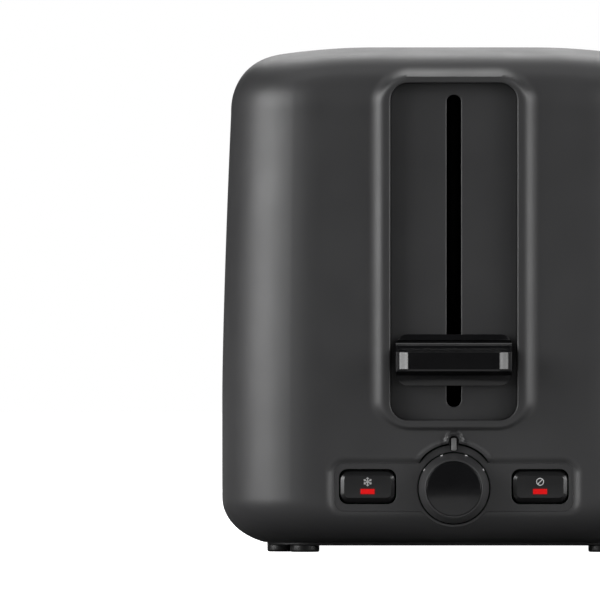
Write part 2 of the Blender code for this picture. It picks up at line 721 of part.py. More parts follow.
# Rear and underneath ------------------------------------------------------------------
def build_tray(tray_holder):
    low, high = TRAY_Z
    middle = (0, (TRAY_Y[0] + TRAY_Y[1]) / 2)
    outer = (TRAY_HALF_WIDTH, (TRAY_Y[1] - TRAY_Y[0]) / 2)
    inner = (outer[0] - 0.0008, outer[1] - 0.0008)

    def ring(half, radius, z):
        return [(x, y, z) for x, y in rounded_rectangle(middle, half, radius, 3)]

    rings = [ring(inner, 0.0022, low + 0.0008), ring(inner, 0.0022, high)]
    rings += [ring(outer, 0.003, high), ring(outer, 0.003, low)]
    add_piece("crumb_tray", loft(rings), "galvanised_steel", tray_holder)
    start = TRAY_Y[1] + GAP
    reach = REAR + REAR_REACH
    outline = [(start, 0.0112), (REAR - 0.001, 0.0112), (reach, 0.0165), (reach, 0.0190)]
    outline += [(REAR + 0.001, 0.0192), (REAR + 0.0005, 0.0228), (start, 0.0228)]
    half = TRAY_HALF_WIDTH + 0.0009
    handle = prism("YZ", outline, -half, half)
    add_piece("crumb_tray_handle", handle, "matte_black", tray_holder)


def build_gland(body):
    inside, outside = REAR - 0.008, REAR + 0.0052
    profile = [(0.0035, inside), (0.0056, inside), (0.0056, REAR + GAP), (0.0080, REAR + GAP)]
    profile += [(0.0080, REAR + 0.0018), (0.0052, outside), (0.0035, outside)]
    add_piece("cord_gland", lathe("Y", (GLAND_X, GLAND_Z), profile), "matte_black", body, smooth=True)


def build_toaster():
    clear_scene()
    body = make_holder("toaster_body", (0, BODY_Y, 0))
    carriage = make_holder("carriage_axis", (0, ROD_Y, CARRIAGE_Z[0]), body)
    knob = make_holder("knob_axis", (0, PANEL_FRONT, CONTROL_Z), body)
    tray = make_holder("tray_axis", (0, TRAY_Y[1], TRAY_Z[0]), body)
    build_housing(body)
    build_base(body)
    build_screws(body)
    build_feet(body)
    build_track_plate(body)
    build_lever(carriage)
    build_fascia(body)
    build_knob(knob)
    for name, side in (("defrost", -1), ("stop", 1)):
        holder = make_holder(f"{name}_axis", (side * BUTTON_X, PANEL_FRONT, BUTTON_Z), body)
        build_button(name, side, holder)
    build_electronics(body)
    build_carriage(carriage)
    build_racks(carriage)
    build_lift_spring(carriage)
    build_magnet(body)
    build_contacts(body)
    build_guide_rod(body)
    build_frames(body)
    build_reflectors(body)
    build_heaters(body)
    guards = {}
    for side_name, side in (("left", -1), ("right", 1)):
        for place, offset in (("outer", GUARD_OFFSET), ("inner", -GUARD_OFFSET)):
            place_x = side * (SLOT_X + offset)
            holder = make_holder(f"guard_{side_name}_{place}_axis", (place_x, SLOT_Y, 0.11), body)
            guards[(side_name, place)] = (side, offset, holder)
    build_guards(guards)
    build_slot_collars(body)
    build_tray(tray)
    build_gland(body)


build_toaster()
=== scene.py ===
import json
import math
from functools import cache

import bmesh
import bpy
import numpy as np
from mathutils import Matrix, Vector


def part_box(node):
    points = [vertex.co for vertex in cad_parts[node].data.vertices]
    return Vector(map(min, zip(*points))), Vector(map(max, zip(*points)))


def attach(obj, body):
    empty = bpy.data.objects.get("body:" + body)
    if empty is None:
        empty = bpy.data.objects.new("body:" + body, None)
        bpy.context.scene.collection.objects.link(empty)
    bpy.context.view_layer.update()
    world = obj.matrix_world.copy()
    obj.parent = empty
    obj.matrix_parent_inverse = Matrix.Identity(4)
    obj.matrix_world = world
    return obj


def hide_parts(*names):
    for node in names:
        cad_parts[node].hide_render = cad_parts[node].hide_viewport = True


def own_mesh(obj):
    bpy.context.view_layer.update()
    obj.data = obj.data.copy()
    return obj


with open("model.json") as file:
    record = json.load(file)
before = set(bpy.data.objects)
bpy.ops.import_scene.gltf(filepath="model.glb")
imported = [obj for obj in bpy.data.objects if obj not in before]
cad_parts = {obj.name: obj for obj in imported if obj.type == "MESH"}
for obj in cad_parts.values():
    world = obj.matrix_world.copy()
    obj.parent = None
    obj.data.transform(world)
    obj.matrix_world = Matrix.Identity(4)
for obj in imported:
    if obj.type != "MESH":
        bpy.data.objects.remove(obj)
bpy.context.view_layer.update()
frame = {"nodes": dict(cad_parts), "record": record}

BASE_LOW, BASE_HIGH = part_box("base_plate")
BODY_Y = (BASE_LOW[1] + BASE_HIGH[1]) / 2
BODY = "toaster"

# Housing -------------------------------------------------------------------------------
HALF_WIDTH = 0.0949
HALF_DEPTH = 0.145
FRONT = -HALF_DEPTH
PLAN_RADIUS = 0.040
CORNER_X = HALF_WIDTH - PLAN_RADIUS
CORNER_Y = HALF_DEPTH - PLAN_RADIUS
HOUSING_TOP = 0.2066
FOOT_Z = 0.0039
FOOT_LIP = (0.0012, 0.0026)       # how far the foot's inner edge lies inwards and upwards
LOWER_EDGE_TOP = 0.022
LOWER_EDGE_WIDTH = 0.026
LOWER_EDGE_HEIGHT = 0.0193
TAPER_START = 0.065
TAPER_END = 0.179
TAPER_DEPTH = 0.0036
TAPER_POWER = 1.4
UPPER_EDGE_WIDTH = 0.022
UPPER_EDGE_DROP = 0.02105
UPPER_EDGE_POWER = 2.5
UPPER_EDGE_ROWS = 30
CAP_INSET = TAPER_DEPTH + UPPER_EDGE_WIDTH
CROWN_START = 0.201
CROWN_INSET = 0.0629
CROWN_WIDTH = 0.0293
CROWN_DROP = 0.0016
WALL_DEPTH = 0.004
REAR_ROUND = 0.0005

# Grid lines of the housing: start, end, largest step
WALL_STRETCHES = ((FOOT_Z, 0.006, 0.0007), (0.006, 0.030, 0.001), (0.030, 0.054, 0.0005),
                  (0.054, 0.064, 0.0009), (0.064, 0.179, 0.005))
FRONT_STRETCHES = ((0, 0.006, 0.0006), (0.006, 0.020, 0.001), (0.020, 0.0245, 0.0015),
                   (0.0245, 0.0360, 0.00075), (0.0360, 0.0475, 0.0013),
                   (0.0475, CORNER_X, 0.0008), (CORNER_X, 0.0693, 0.0015))

# Outlines are (centre, half size, corner radius), the first three in the front's plane
RECESS_OUTLINE = ((0, 0.1230), (0.0259, 0.0689), 0.0073)
RECESS_DEPTH = 0.0060
RECESS_ROUND = 0.0006
RIM_OUTLINE = ((0, 0.1230), (0.0281, 0.0712), 0.0101)
RIM_PROUD = 0.0022
PANEL_OUTLINE = ((0, 0.02675), (0.0488, 0.00985), 0.004)
PANEL_DEPTH = 0.0015
PANEL_ROUND = 0.0001
PANEL_FRONT = FRONT + PANEL_DEPTH

# Moulded slopes round the rim and the panel, at their sides, top and bottom: how wide they
# are, and at what share of that width they are steepest
RIM_SLOPE_WIDTHS = (0.0071, 0.0043, 0.0023)
RIM_SLOPE_PEAKS = (0.37, 0.17, 0.52)
PANEL_SLOPE_WIDTHS = (0.0041, 0.0034, 0.0041)
PANEL_SLOPE_PEAKS = (0.37, 0.15, 0.37)

CONTROL_Z = 0.0263
BOSS_CENTRE = (0, 0.0271)
BOSS_RADIUS = 0.0166
BOSS_RECESS = 0.0010      # how much wider the housing's opening is round the top of the boss
BOSS_GROW = 0.0004        # how much wider the boss itself is there
BOSS_WIDENS = (0.032, 0.041)
TAB_HALF = 0.0021
TAB_TOP = 0.0478
RIDGE_WIDTH = 0.0008
RIDGE_HEIGHT = 0.0006
RIDGE_RISES = (0.0365, 0.0385)
HOOD_HEIGHT = 0.0016
HOOD_RISES = (0.0435, 0.0465)

# Knob, index mark and buttons ------------------------------------------------------------
KNOB_HOLE = 0.0148
KNOB_LENGTH = 0.0115      # ahead of the panel
KNOB_TAIL = 0.0050        # behind it
KNOB_BORE = 0.0036
KNOB_SKIRT = 0.0142
KNOB_SEAT = 0.0014        # how deep the cap's seat lies
CAP_RADIUS = 0.0110
CAP_DOME = 0.0006
CAP_EDGE = 0.00007
MARK_TURNS = (-58, -20.5, 20.5, 58)
MARK_HALF = 0.00045
MARK_SECTION = ((0.0140, 0.0006), (0.0145, 0.0007), (0.0145, 0.0017), (0.0140, 0.0018))

INDEX_CENTRE = (0, 0.0443)
INDEX_HALF = (0.0011, 0.00265)
INDEX_RADIUS = 0.0006
INDEX_PROUD = 0.0020
# A thin black sheet round the index mark: painted shade standing for the dark slot under the hood
INDEX_SHADE_HALF = (0.0015, 0.0031)
INDEX_SHADE_RADIUS = 0.0012

BUTTON_X = 0.0352
BUTTON_Z = 0.0270
POCKET_HALF = (0.0117, 0.00715)
POCKET_RADIUS = 0.0035
KEY_FACE = PANEL_FRONT - 0.0008
# Sections of a key from its back to its face: half size, corner radius, distance to the face
KEY_SECTIONS = (
    ((0.0112, 0.0067), 0.0031, 0.0118),
    ((0.0112, 0.0067), 0.0031, 0.0032),
    ((0.0110, 0.0053), 0.0026, 0.0010),
    ((0.00975, 0.00455), 0.0020, 0.00015),
    ((0.0096, 0.0045), 0.0019, 0.00003),
    ((0.0094, 0.0043), 0.0018, 0),
)
LAMP_Z = 0.0250
LAMP_HALF = (0.0032, 0.0014)
LAMP_RADIUS = 0.0005
LAMP_RIM = 0.0004
LAMP_ROOT = KEY_FACE + 0.001
SIGN_Z = 0.0290
SIGN_STROKE = 0.00018
SIGN_DEPTHS = (KEY_FACE + 0.00002, KEY_FACE - 0.00006)
SNOWFLAKE_SIZE = 0.0018
STOP_SIZE = 0.0016

# Lever -----------------------------------------------------------------------------------
LEVER_TIP = FRONT - 0.022
LEVER_BACK = FRONT - RIM_PROUD + RECESS_DEPTH - 0.001
LEVER_HALF = 0.0237
LEVER_FLAT = 0.0187       # half width of the paddle's flat front
LEVER_SLANT = (28, 35)    # degrees, at the start and end of the slanted ends
LEVER_SIDE = 50           # degrees, where the side starts to curve back
LEVER_CORNER = 0.0016     # width of the side seen from the front
SHELF_Z = (0.0742, 0.0821)
SHELF_ROUNDS = (0.0008, 0.0003)
# The sweep up from the shelf: share of the way to the back plate, rise
SWEEP = ((0.2, 0.0001), (0.5, 0.0004), (0.75, 0.0009), (0.9, 0.0015), (0.97, 0.0020))
SWEEP_END = 0.0016        # how far ahead of the back plate the sweep ends
# The bead along the back plate: distance from the plate's front, height
BEAD = ((-0.0014, 0.0845), (-0.0012, 0.0846), (-0.0009, 0.0849), (-0.0006, 0.0853),
        (-0.0003, 0.0856), (0, 0.0857))
PLATE_HALF = 0.0236
PLATE_Z = (0.0682, 0.0892)
PLATE_RADIUS = 0.0046
PLATE_FRONT = LEVER_BACK - 0.0028
PLATE_FLOOR = PLATE_FRONT + 0.0012
UPPER_LIP = 0.0869        # lower edge of the back plate's upper lip
LOWER_LIP = 0.0850        # the same for the lower lip, mirrored about the plate's middle

TRACK_SLOT_OUTLINE = ((0, 0.12325), (0.00295, 0.06375), 0.00295)

# Top, inside, underneath and back ----------------------------------------------------------
SLOT_X = 0.034
SLOT_Y = 0.007
SLOT_HALF = (0.015, 0.080)
SLOT_RADIUS = 0.0033
SLOT_ROUND = 0.002
SLOT_DEPTH = 0.007
COLLAR_GAP = 0.0003
COLLAR_Z = (0.1885, 0.2043)
COLLAR_WALL = 0.0008
COLLAR_RADIUS = 0.0030

GUARD_OFFSET = 0.007
GUARD_Y = (-0.083, 0.097)
GUARD_Z = (0.044, 0.178)
GUARD_UPRIGHTS = 7
GUARD_CROSS_WIRES = 6
GUARD_WIRE = 0.0006
GUARD_LAP = 0.0004        # how far the wires lie to either side of the guard's middle

SPRING_X = 0.020
SPRING_Y = -0.103
SPRING_Z = (0.0585, 0.1980)
SPRING_RADIUS = 0.0032
SPRING_WIRE = 0.0005
SPRING_TURNS = 22
TURN_STEPS = 14

FOOT_PLACES = (("inner", 0.061, 0.118), ("outer", 0.0704, 0.106))
BASE_INSET = 0.0184
BASE_BOTTOM = 0.0027
BASE_HEIGHT = 0.0034
VENT_HALF = (0.018, 0.0016)
VENT_RADIUS = 0.0015
VENT_PITCH = 0.012
VENT_REACH = 0.060
WELL_PLACE = (0.056, 0.110)
WELL_RADIUS = 0.0041
WELL_DEPTH = 0.0020

TRAY_OPENING = ((0, 0.0170), (0.0515, 0.0065), 0.001)
GRIP_HALF = 0.0509
GRIP_START = 0.1413
GRIP_MIDDLE = (0.1445, 0.0170)
GRIP_SIZE = 0.006
# How the grip's ends are rounded: distance from the end, shrink
GRIP_ENDS = ((0, 0.0008), (0.0003, 0.0003), (0.0010, 0))
GLAND_PLACE = (0.040, 0.034)
GLAND_HOLE = 0.0059
GLAND_BORE = 0.0035
GLAND_FLANGE = 0.0079
GLAND_RIBS = 3
RIB_STEPS = 8


# Signed distances to outlines, positive outside -----------------------------------------
def box_distance(u, v, centre, half, radius):
    du = np.abs(u - centre[0]) - half[0] + radius
    dv = np.abs(v - centre[1]) - half[1] + radius
    outside = np.hypot(np.maximum(du, 0), np.maximum(dv, 0))
    return outside + np.minimum(np.maximum(du, dv), 0) - radius


def circle_distance(u, v, centre, radius):
    return np.hypot(u - centre[0], v - centre[1]) - radius


def tab_distance(u, v):
    centre_z = (BOSS_CENTRE[1] + TAB_TOP) / 2
    half = (TAB_HALF, (TAB_TOP - BOSS_CENTRE[1]) / 2)
    return box_distance(u, v, (0, centre_z), half, TAB_HALF * 0.9)


def boss_distance(u, v, grow=BOSS_RECESS):
    """The round boss behind the knob, wider towards its top, and the tab that stands on it."""
    radius = BOSS_RADIUS + grow * ramp(v, *BOSS_WIDENS)
    return np.minimum(circle_distance(u, v, BOSS_CENTRE, radius), tab_distance(u, v))


def panel_distance(u, v, grow=BOSS_RECESS):
    return np.minimum(box_distance(u, v, *PANEL_OUTLINE), boss_distance(u, v, grow))


def recess_distance(u, v):
    return box_distance(u, v, *RECESS_OUTLINE)


def slots_distance(u, v):
    return box_distance(np.abs(u), v, (SLOT_X, SLOT_Y), SLOT_HALF, SLOT_RADIUS)


def rear_openings_distance(u, v):
    tray = box_distance(u, v, *TRAY_OPENING)
    return np.minimum(tray, circle_distance(u, v, GLAND_PLACE, GLAND_HOLE))


def gradient(distance, u, v, step=2e-5):
    """Unit vector that points away from an outline."""
    du = distance(u + step, v) - distance(u - step, v)
    dv = distance(u, v + step) - distance(u, v - step)
    length = np.maximum(np.hypot(du, dv), 1e-12)
    return du / length, dv / length


def snap(distance, u, v, margin=0.0):
    """Move points onto an outline, or onto one that runs round it at a margin."""
    for _ in range(5):
        away_u, away_v = gradient(distance, u, v)
        gap = distance(u, v) - margin
        u = u - away_u * gap
        v = v - away_v * gap
    return u, v


# Curves and grid lines -------------------------------------------------------------------
def smooth_step(value):
    value = np.clip(value, 0, 1)
    return value * value * (3 - 2 * value)


def ramp(value, start, end):
    return smooth_step((value - start) / (end - start))


def s_curve(share, peak):
    """0 to 1 with its steepest place at the peak share, as a soft moulded slope."""
    share = np.clip(share, 0, 1)
    early = share ** 2 / peak
    late = 1 - (1 - share) ** 2 / (1 - peak)
    return np.where(share < peak, early, late)


def spread(*stretches):
    """Grid lines: each stretch is (start, end, largest step)."""
    lines = []
    for start, end, step in stretches:
        count = max(1, math.ceil(round((end - start) / step, 6)))
        lines += [start + (end - start) * i / count for i in range(count)]
    lines.append(stretches[-1][1])
    return lines


def both_sides(lines):
    """The lines and their mirror images about zero."""
    return sorted({round(line, 7) for line in lines} | {round(-line, 7) for line in lines})


def arc(centre, radius, start, end, segments):
    points = []
    for step in range(segments + 1):
        angle = math.radians(start + (end - start) * step / segments)
        points.append((centre[0] + radius * math.cos(angle), centre[1] + radius * math.sin(angle)))
    return points


def rounded_outline(centre, half, radius, segments=6):
    points = []
    for side_u, side_v, start in ((1, 1, 0), (-1, 1, 90), (-1, -1, 180), (1, -1, 270)):
        middle = (centre[0] + side_u * (half[0] - radius), centre[1] + side_v * (half[1] - radius))
        points += arc(middle, radius, start, start + 90, segments)
    return points


# Meshes: each is (points, faces) -----------------------------------------------------------
def add_piece(name, points, faces, finish, body=BODY, node=None, angle=40, slot=None):
    """Make a piece from toaster coordinates, ride it on a body and give it its finish."""
    mesh = bpy.data.meshes.new(name)
    mesh.from_pydata([(x, y + BODY_Y, z) for x, y, z in points], [], faces)
    mesh.update()
    face_outwards(mesh)
    mesh.shade_smooth()
    mesh.set_sharp_from_angle(angle=math.radians(angle))
    piece = bpy.data.objects.new(name, mesh)
    bpy.context.collection.objects.link(piece)
    piece.data.materials.append(finish_material(finish))
    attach(piece, body)
    if node:
        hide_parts(node)
    slot or finish
    return piece


def face_outwards(mesh):
    bm = bmesh.new()
    bm.from_mesh(mesh)
    bmesh.ops.recalc_face_normals(bm, faces=bm.faces)
    bm.to_mesh(mesh)
    bm.free()


def skin(rings, wraps=False):
    """Join rings of equal length. The ends are flat, or meet each other when it wraps."""
    count = len(rings[0])
    points = [point for ring in rings for point in ring]
    faces = []
    for r in range(len(rings) if wraps else len(rings) - 1):
        low, high = r * count, (r + 1) % len(rings) * count
        for i in range(count):
            j = (i + 1) % count
            faces.append((low + i, low + j, high + j, high + i))
    if not wraps:
        last = len(points) - count
        faces.append(tuple(range(count)))
        faces.append(tuple(range(last, last + count))[::-1])
    return points, faces


def stacked(outlines):
    """A block through outlines in the XZ plane: pairs of outline and y."""
    return skin([[(x, y, z) for x, z in outline] for outline, y in outlines])


def block(centre, half, radius, layers, segments=6):
    """A rounded block along Y: layers are pairs of shrink and y."""
    outlines = []
    for shrink, y in layers:
        size = (half[0] - shrink, half[1] - shrink)
        outlines.append((rounded_outline(centre, size, radius - shrink, segments), y))
    return stacked(outlines)


def lathe(axis, centre, profile, segments=64):
    """Turn (radius, depth) points round Y or Z; one that starts off the axis closes on itself."""
    points, faces, rings = [], [], []
    for radius, depth in profile:
        count = segments if radius > 0 else 1
        start = len(points)
        for u, v in arc(centre, radius, 0, 360, segments)[:count]:
            points.append((u, depth, v) if axis == "Y" else (u, v, depth))
        rings.append([start + i % count for i in range(segments)])
    pairs = list(zip(rings, rings[1:]))
    if profile[0][0] > 0:
        pairs.append((rings[-1], rings[0]))
    for first, second in pairs:
        for i in range(segments):
            j = (i + 1) % segments
            corners = dict.fromkeys((first[i], first[j], second[j], second[i]))
            faces.append(tuple(corners))
    return points, faces


def tube(path, radius, sides):
    """A round wire along points, with flat ends."""
    path = [np.array(p, dtype=float) for p in path]
    rings = []
    reference = None
    for i, point in enumerate(path):
        ahead = path[min(i + 1, len(path) - 1)] - path[max(i - 1, 0)]
        ahead = ahead / np.linalg.norm(ahead)
        if reference is None:
            reference = np.array((1.0, 0, 0)) if abs(ahead[0]) < 0.7 else np.array((0, 1.0, 0))
        across = np.cross(ahead, reference)
        across = across / np.linalg.norm(across)
        reference = np.cross(across, ahead)
        ring = []
        for k in range(sides):
            angle = 2 * math.pi * k / sides
            offset = across * math.cos(angle) + reference * math.sin(angle)
            ring.append(tuple(point + radius * offset))
        rings.append(ring)
    return skin(rings)


def merged(*shapes):
    points, faces = [], []
    for shape_points, shape_faces in shapes:
        offset = len(points)
        points += shape_points
        faces += [tuple(i + offset for i in face) for face in shape_faces]
    return points, faces


# Plates with drawn edges --------------------------------------------------------------------
def open_loops(faces):
    """The edges that only one face uses, chained into loops, the longest first."""
    count = {}
    for face in faces:
        for a, b in zip(face, face[1:] + face[:1]):
            key = (min(a, b), max(a, b))
            count[key] = count.get(key, 0) + 1
    following = {}
    for face in faces:
        for a, b in zip(face, face[1:] + face[:1]):
            if count[(min(a, b), max(a, b))] == 1:
                following[a] = b
    loops = []
    while following:
        start, current = following.popitem()
        loop = [start]
        while current != start:
            loop.append(current)
            current = following.pop(current)
        loops.append(loop)
    return sorted(loops, key=lambda loop: (-len(loop), min(loop)))


def roll_in(points, faces, loop, distance, axes, steps, direction):
    """Carry an opening's edge inwards through steps of (shrink, depth).

    axes are the two coordinates the outline lies in, direction the way into the body.
    """
    ring = np.array([points[i] for i in loop])
    away_u, away_v = gradient(distance, ring[:, axes[0]], ring[:, axes[1]])
    previous = list(loop)
    for shrink, depth in steps:
        moved = ring.copy()
        moved[:, axes[0]] -= away_u * shrink
        moved[:, axes[1]] -= away_v * shrink
        moved += np.array(direction) * depth
        start = len(points)
        points.extend(map(tuple, moved))
        current = list(range(start, start + len(loop)))
        for i in range(len(loop)):
            j = (i + 1) % len(loop)
            faces.append((previous[j], previous[i], current[i], current[j]))
        previous = current


def round_over(radius, depth, count=4):
    """Steps for roll_in: a quarter round and then a straight wall."""
    steps = []
    for i in range(1, count + 1):
        angle = math.pi / 2 * i / count
        steps.append((radius * math.sin(angle), radius * (1 - math.cos(angle))))
    return steps + [(radius, depth)]


def without_corner_contacts(kept):
    """Drop cells until no two of them meet at a corner only."""
    while True:
        a, b, c, d = kept[:-1, :-1], kept[1:, :-1], kept[:-1, 1:], kept[1:, 1:]
        falling = a & d & ~b & ~c
        rising = b & c & ~a & ~d
        if not (falling.any() or rising.any()):
            return kept
        kept = kept.copy()
        kept[:-1, :-1] &= ~falling
        kept[1:, :-1] &= ~rising


def trimmed_plate(us, vs, solid_distance):
    """A flat grid whose edge is drawn onto an outline; solid_distance is negative in it."""
    grid_u, grid_v = np.meshgrid(np.array(us), np.array(vs), indexing="ij")
    middle_u = (grid_u[1:, 1:] + grid_u[:-1, :-1]) / 2
    middle_v = (grid_v[1:, 1:] + grid_v[:-1, :-1]) / 2
    kept = without_corner_contacts(solid_distance(middle_u, middle_v) < 0)
    columns = len(vs)
    faces = []
    for i, j in zip(*np.nonzero(kept)):
        corner = int(i) * columns + int(j)
        faces.append((corner, corner + columns, corner + columns + 1, corner + 1))
    used = sorted({index for face in faces for index in face})
    number = {old: new for new, old in enumerate(used)}
    faces = [tuple(number[i] for i in face) for face in faces]
    u = grid_u.ravel()[used]
    v = grid_v.ravel()[used]
    edge = sorted({i for loop in open_loops(faces) for i in loop})
    u[edge], v[edge] = snap(solid_distance, u[edge], v[edge])
    return u, v, faces


def rounded_plate(lines, outline, holes, rounds, depths, surface, axes):
    """A plate whose outer edge and holes are rounded over and carried inwards.

    rounds and depths are for the outer edge and the holes. surface gives the third coordinate,
    along which the plate's inside lies ahead.
    """
    edge_round, hole_round = rounds

    def solid(u, v):
        return np.maximum(outline(u, v) + edge_round, hole_round - holes(u, v))

    def inwards(u, v):
        return -outline(u, v)

    u, v, faces = trimmed_plate(*lines, solid)
    third = 3 - sum(axes)
    places = np.zeros((len(u), 3))
    places[:, axes[0]] = u
    places[:, axes[1]] = v
    places[:, third] = surface(u, v)
    points = [tuple(place) for place in places]
    direction = np.eye(3)[third]
    edge, *hole_edges = open_loops(faces)
    roll_in(points, faces, edge, inwards, axes, round_over(edge_round, depths[0]), direction)
    for loop in hole_edges:
        roll_in(points, faces, loop, holes, axes, round_over(hole_round, depths[1]), direction)
    return points, faces


# Housing shape ---------------------------------------------------------------------------
def lean(z):
    """How far the wall and the rim lean in at a height."""
    share = np.maximum(np.asarray(z, dtype=float) - TAPER_START, 0) / (TAPER_END - TAPER_START)
    return TAPER_DEPTH * share ** TAPER_POWER


def nominal_crown(inset):
    """Height of the crown beside the middle of a long side."""
    return HOUSING_TOP - CROWN_DROP * np.maximum((CROWN_INSET - inset) / CROWN_WIDTH, 0) ** 2


def crown(x, y):
    across = np.maximum((CROWN_INSET - HALF_WIDTH + np.abs(x)) / CROWN_WIDTH, 0)
    along = np.maximum((CROWN_INSET - HALF_DEPTH + np.abs(y)) / CROWN_WIDTH, 0)
    return HOUSING_TOP - CROWN_DROP * (across ** 2 + along ** 2)


def wall_inset(z):
    """How far the wall lies in below the upper edge: it leans, and curves in at the foot."""
    if z >= LOWER_EDGE_TOP:
        return float(lean(z))
    sine = (LOWER_EDGE_TOP - z) / LOWER_EDGE_HEIGHT
    return LOWER_EDGE_WIDTH * (1 - math.sqrt(1 - sine ** 2))


def housing_rows():
    """Inset and height of each row of the wall, from the cap down to the foot."""
    rows = []
    for step in range(1, UPPER_EDGE_ROWS + 1):
        angle = math.radians(90 * step / UPPER_EDGE_ROWS)
        inset = CAP_INSET - UPPER_EDGE_WIDTH * math.sin(angle) ** (2 / UPPER_EDGE_POWER)
        lift = math.cos(angle) ** (2 / UPPER_EDGE_POWER) if step < UPPER_EDGE_ROWS else 0
        rows.append((inset, float(nominal_crown(inset)) - UPPER_EDGE_DROP * (1 - lift)))
    for z in reversed(spread(*WALL_STRETCHES)[:-1]):
        rows.append((wall_inset(z), z))
    return rows


def slope(outline, widths, peaks, x, z):
    """0 at an outline to 1 at the end of the moulded slope round it."""
    def distance(u, v):
        return box_distance(u, v, *outline)

    _, upward = gradient(distance, x, z)
    above, below = smooth_step(upward), smooth_step(-upward)
    width, peak = (side + (top - side) * above + (bottom - side) * below
                   for side, top, bottom in (widths, peaks))
    return s_curve(distance(x, z) / width, peak)


def front_surface(x, z, wall_y):
    """The front wall with the raised rim, the sunk panel and the ridge round the knob."""
    rim_y = FRONT + lean(z) - RIM_PROUD
    y = rim_y + (wall_y - rim_y) * slope(RIM_OUTLINE, RIM_SLOPE_WIDTHS, RIM_SLOPE_PEAKS, x, z)
    sink = np.maximum(y, PANEL_FRONT) - y
    y = y + sink * (1 - slope(PANEL_OUTLINE, PANEL_SLOPE_WIDTHS, PANEL_SLOPE_PEAKS, x, z))
    height = RIDGE_HEIGHT + (HOOD_HEIGHT - RIDGE_HEIGHT) * ramp(z, *HOOD_RISES)
    place = (boss_distance(x, z) - RIDGE_WIDTH) / RIDGE_WIDTH
    ridge = np.sqrt(np.clip(1 - place ** 2, 0, 1)) * ramp(z, *RIDGE_RISES)
    return y - height * ridge


def housing_top():
    """The top with its bread slots, and the loop of points along its outer edge."""
    slot_low, slot_high = SLOT_Y - SLOT_HALF[1], SLOT_Y + SLOT_HALF[1]
    y_lines = spread((-0.1194, -0.104, 0.0015), (-0.104, slot_low - 0.005, 0.004),
                     (slot_low - 0.005, slot_low + 0.006, 0.0008),
                     (slot_low + 0.006, slot_high - 0.006, 0.005),
                     (slot_high - 0.006, slot_high + 0.005, 0.0008),
                     (slot_high + 0.005, 0.104, 0.004), (0.104, 0.1194, 0.0015))
    half = (HALF_WIDTH - CAP_INSET, HALF_DEPTH - CAP_INSET)

    def solid(u, v):
        outer = box_distance(u, v, (0, 0), half, PLAN_RADIUS - CAP_INSET)
        return np.maximum(outer, SLOT_ROUND - slots_distance(u, v))

    u, v, faces = trimmed_plate(both_sides(spread(*FRONT_STRETCHES)), y_lines, solid)
    points = list(zip(u, v, crown(u, v)))
    edge, *slot_edges = open_loops(faces)
    for loop in slot_edges:
        steps = round_over(SLOT_ROUND, SLOT_DEPTH)
        roll_in(points, faces, loop, slots_distance, (0, 1), steps, (0, 0, -1))
    return points, [face[::-1] for face in faces], edge


def outward_directions(edge_points):
    """For each column of the wall: the centre it turns round, and the way out."""
    pivot = edge_points[:, :2].copy()
    pivot[:, 0] = np.clip(pivot[:, 0], -CORNER_X, CORNER_X)
    pivot[:, 1] = np.clip(pivot[:, 1], -CORNER_Y, CORNER_Y)
    outward = edge_points[:, :2] - pivot
    return pivot, outward / np.linalg.norm(outward, axis=1)[:, None]


def housing_wall(rows, pivot, outward):
    """Points of the wall: a row for each height, a column for each point of the top's edge."""
    grid = np.zeros((len(rows), len(outward), 3))
    for i, (inset, nominal_z) in enumerate(rows):
        place = pivot + outward * (PLAN_RADIUS - inset)
        extra = nominal_crown(inset) - crown(place[:, 0], place[:, 1])
        grid[i, :, :2] = place
        grid[i, :, 2] = nominal_z - extra * ramp(nominal_z, TAPER_END, CROWN_START)
    ahead = straight_columns(outward, -1)
    grid[:, ahead, 1] = front_surface(*grid[:, ahead].transpose(2, 0, 1)[[0, 2, 1]])
    return grid


def straight_columns(outward, side):
    """The columns of the flat front (side -1) or of the flat back (side 1)."""
    return outward[:, 1] * side > 0.99999


def wall_cells(index, grid, outward):
    """Faces between the rows, but for those inside the openings of the front and back."""
    x, z = grid[:, :, 0], grid[:, :, 2]
    centre_x = (x + np.roll(x, -1, axis=1))[:-1] / 2
    centre_z = (z[:-1] + z[1:]) / 2
    front, back = straight_columns(outward, -1), straight_columns(outward, 1)
    in_front = np.minimum(recess_distance(centre_x, centre_z) - RECESS_ROUND,
                          panel_distance(centre_x, centre_z) - PANEL_ROUND) < 0
    in_back = rear_openings_distance(centre_x, centre_z) < REAR_ROUND
    is_open = front & np.roll(front, -1) & in_front | back & np.roll(back, -1) & in_back
    count = len(outward)
    faces = []
    for row in range(len(index) - 1):
        for column in range(count):
            if row > 0 and is_open[row - 1, column]:
                continue
            other = (column + 1) % count
            faces.append((index[row + 1][column], index[row + 1][other],
                          index[row][other], index[row][column]))
    return faces


def cut_wall_openings(points, faces, rows, count):
    """Draw the openings' edges onto their outlines and carry them into the housing."""
    insets, heights = np.array(rows[::-1]).T
    for loop in open_loops(faces):
        if len(loop) == count:
            continue      # the edge of the top or of the foot
        ring = np.array([points[i] for i in loop])
        is_front = ring[:, 1].mean() < 0
        if not is_front:
            outline, rounding, depth = rear_openings_distance, REAR_ROUND, WALL_DEPTH
        elif ring[:, 2].mean() > TAPER_START:
            outline, rounding, depth = recess_distance, RECESS_ROUND, RECESS_DEPTH + 0.002
        else:
            outline, rounding, depth = panel_distance, PANEL_ROUND, WALL_DEPTH
        u, v = snap(outline, ring[:, 0], ring[:, 2], rounding)
        y = HALF_DEPTH - np.interp(v, heights, insets)
        if is_front:
            y = front_surface(u, v, -y)
        for i, point in zip(loop, zip(u, y, v)):
            points[i] = point
        direction = (0, 1, 0) if is_front else (0, -1, 0)
        roll_in(points, faces, loop, outline, (0, 2), round_over(rounding, depth), direction)


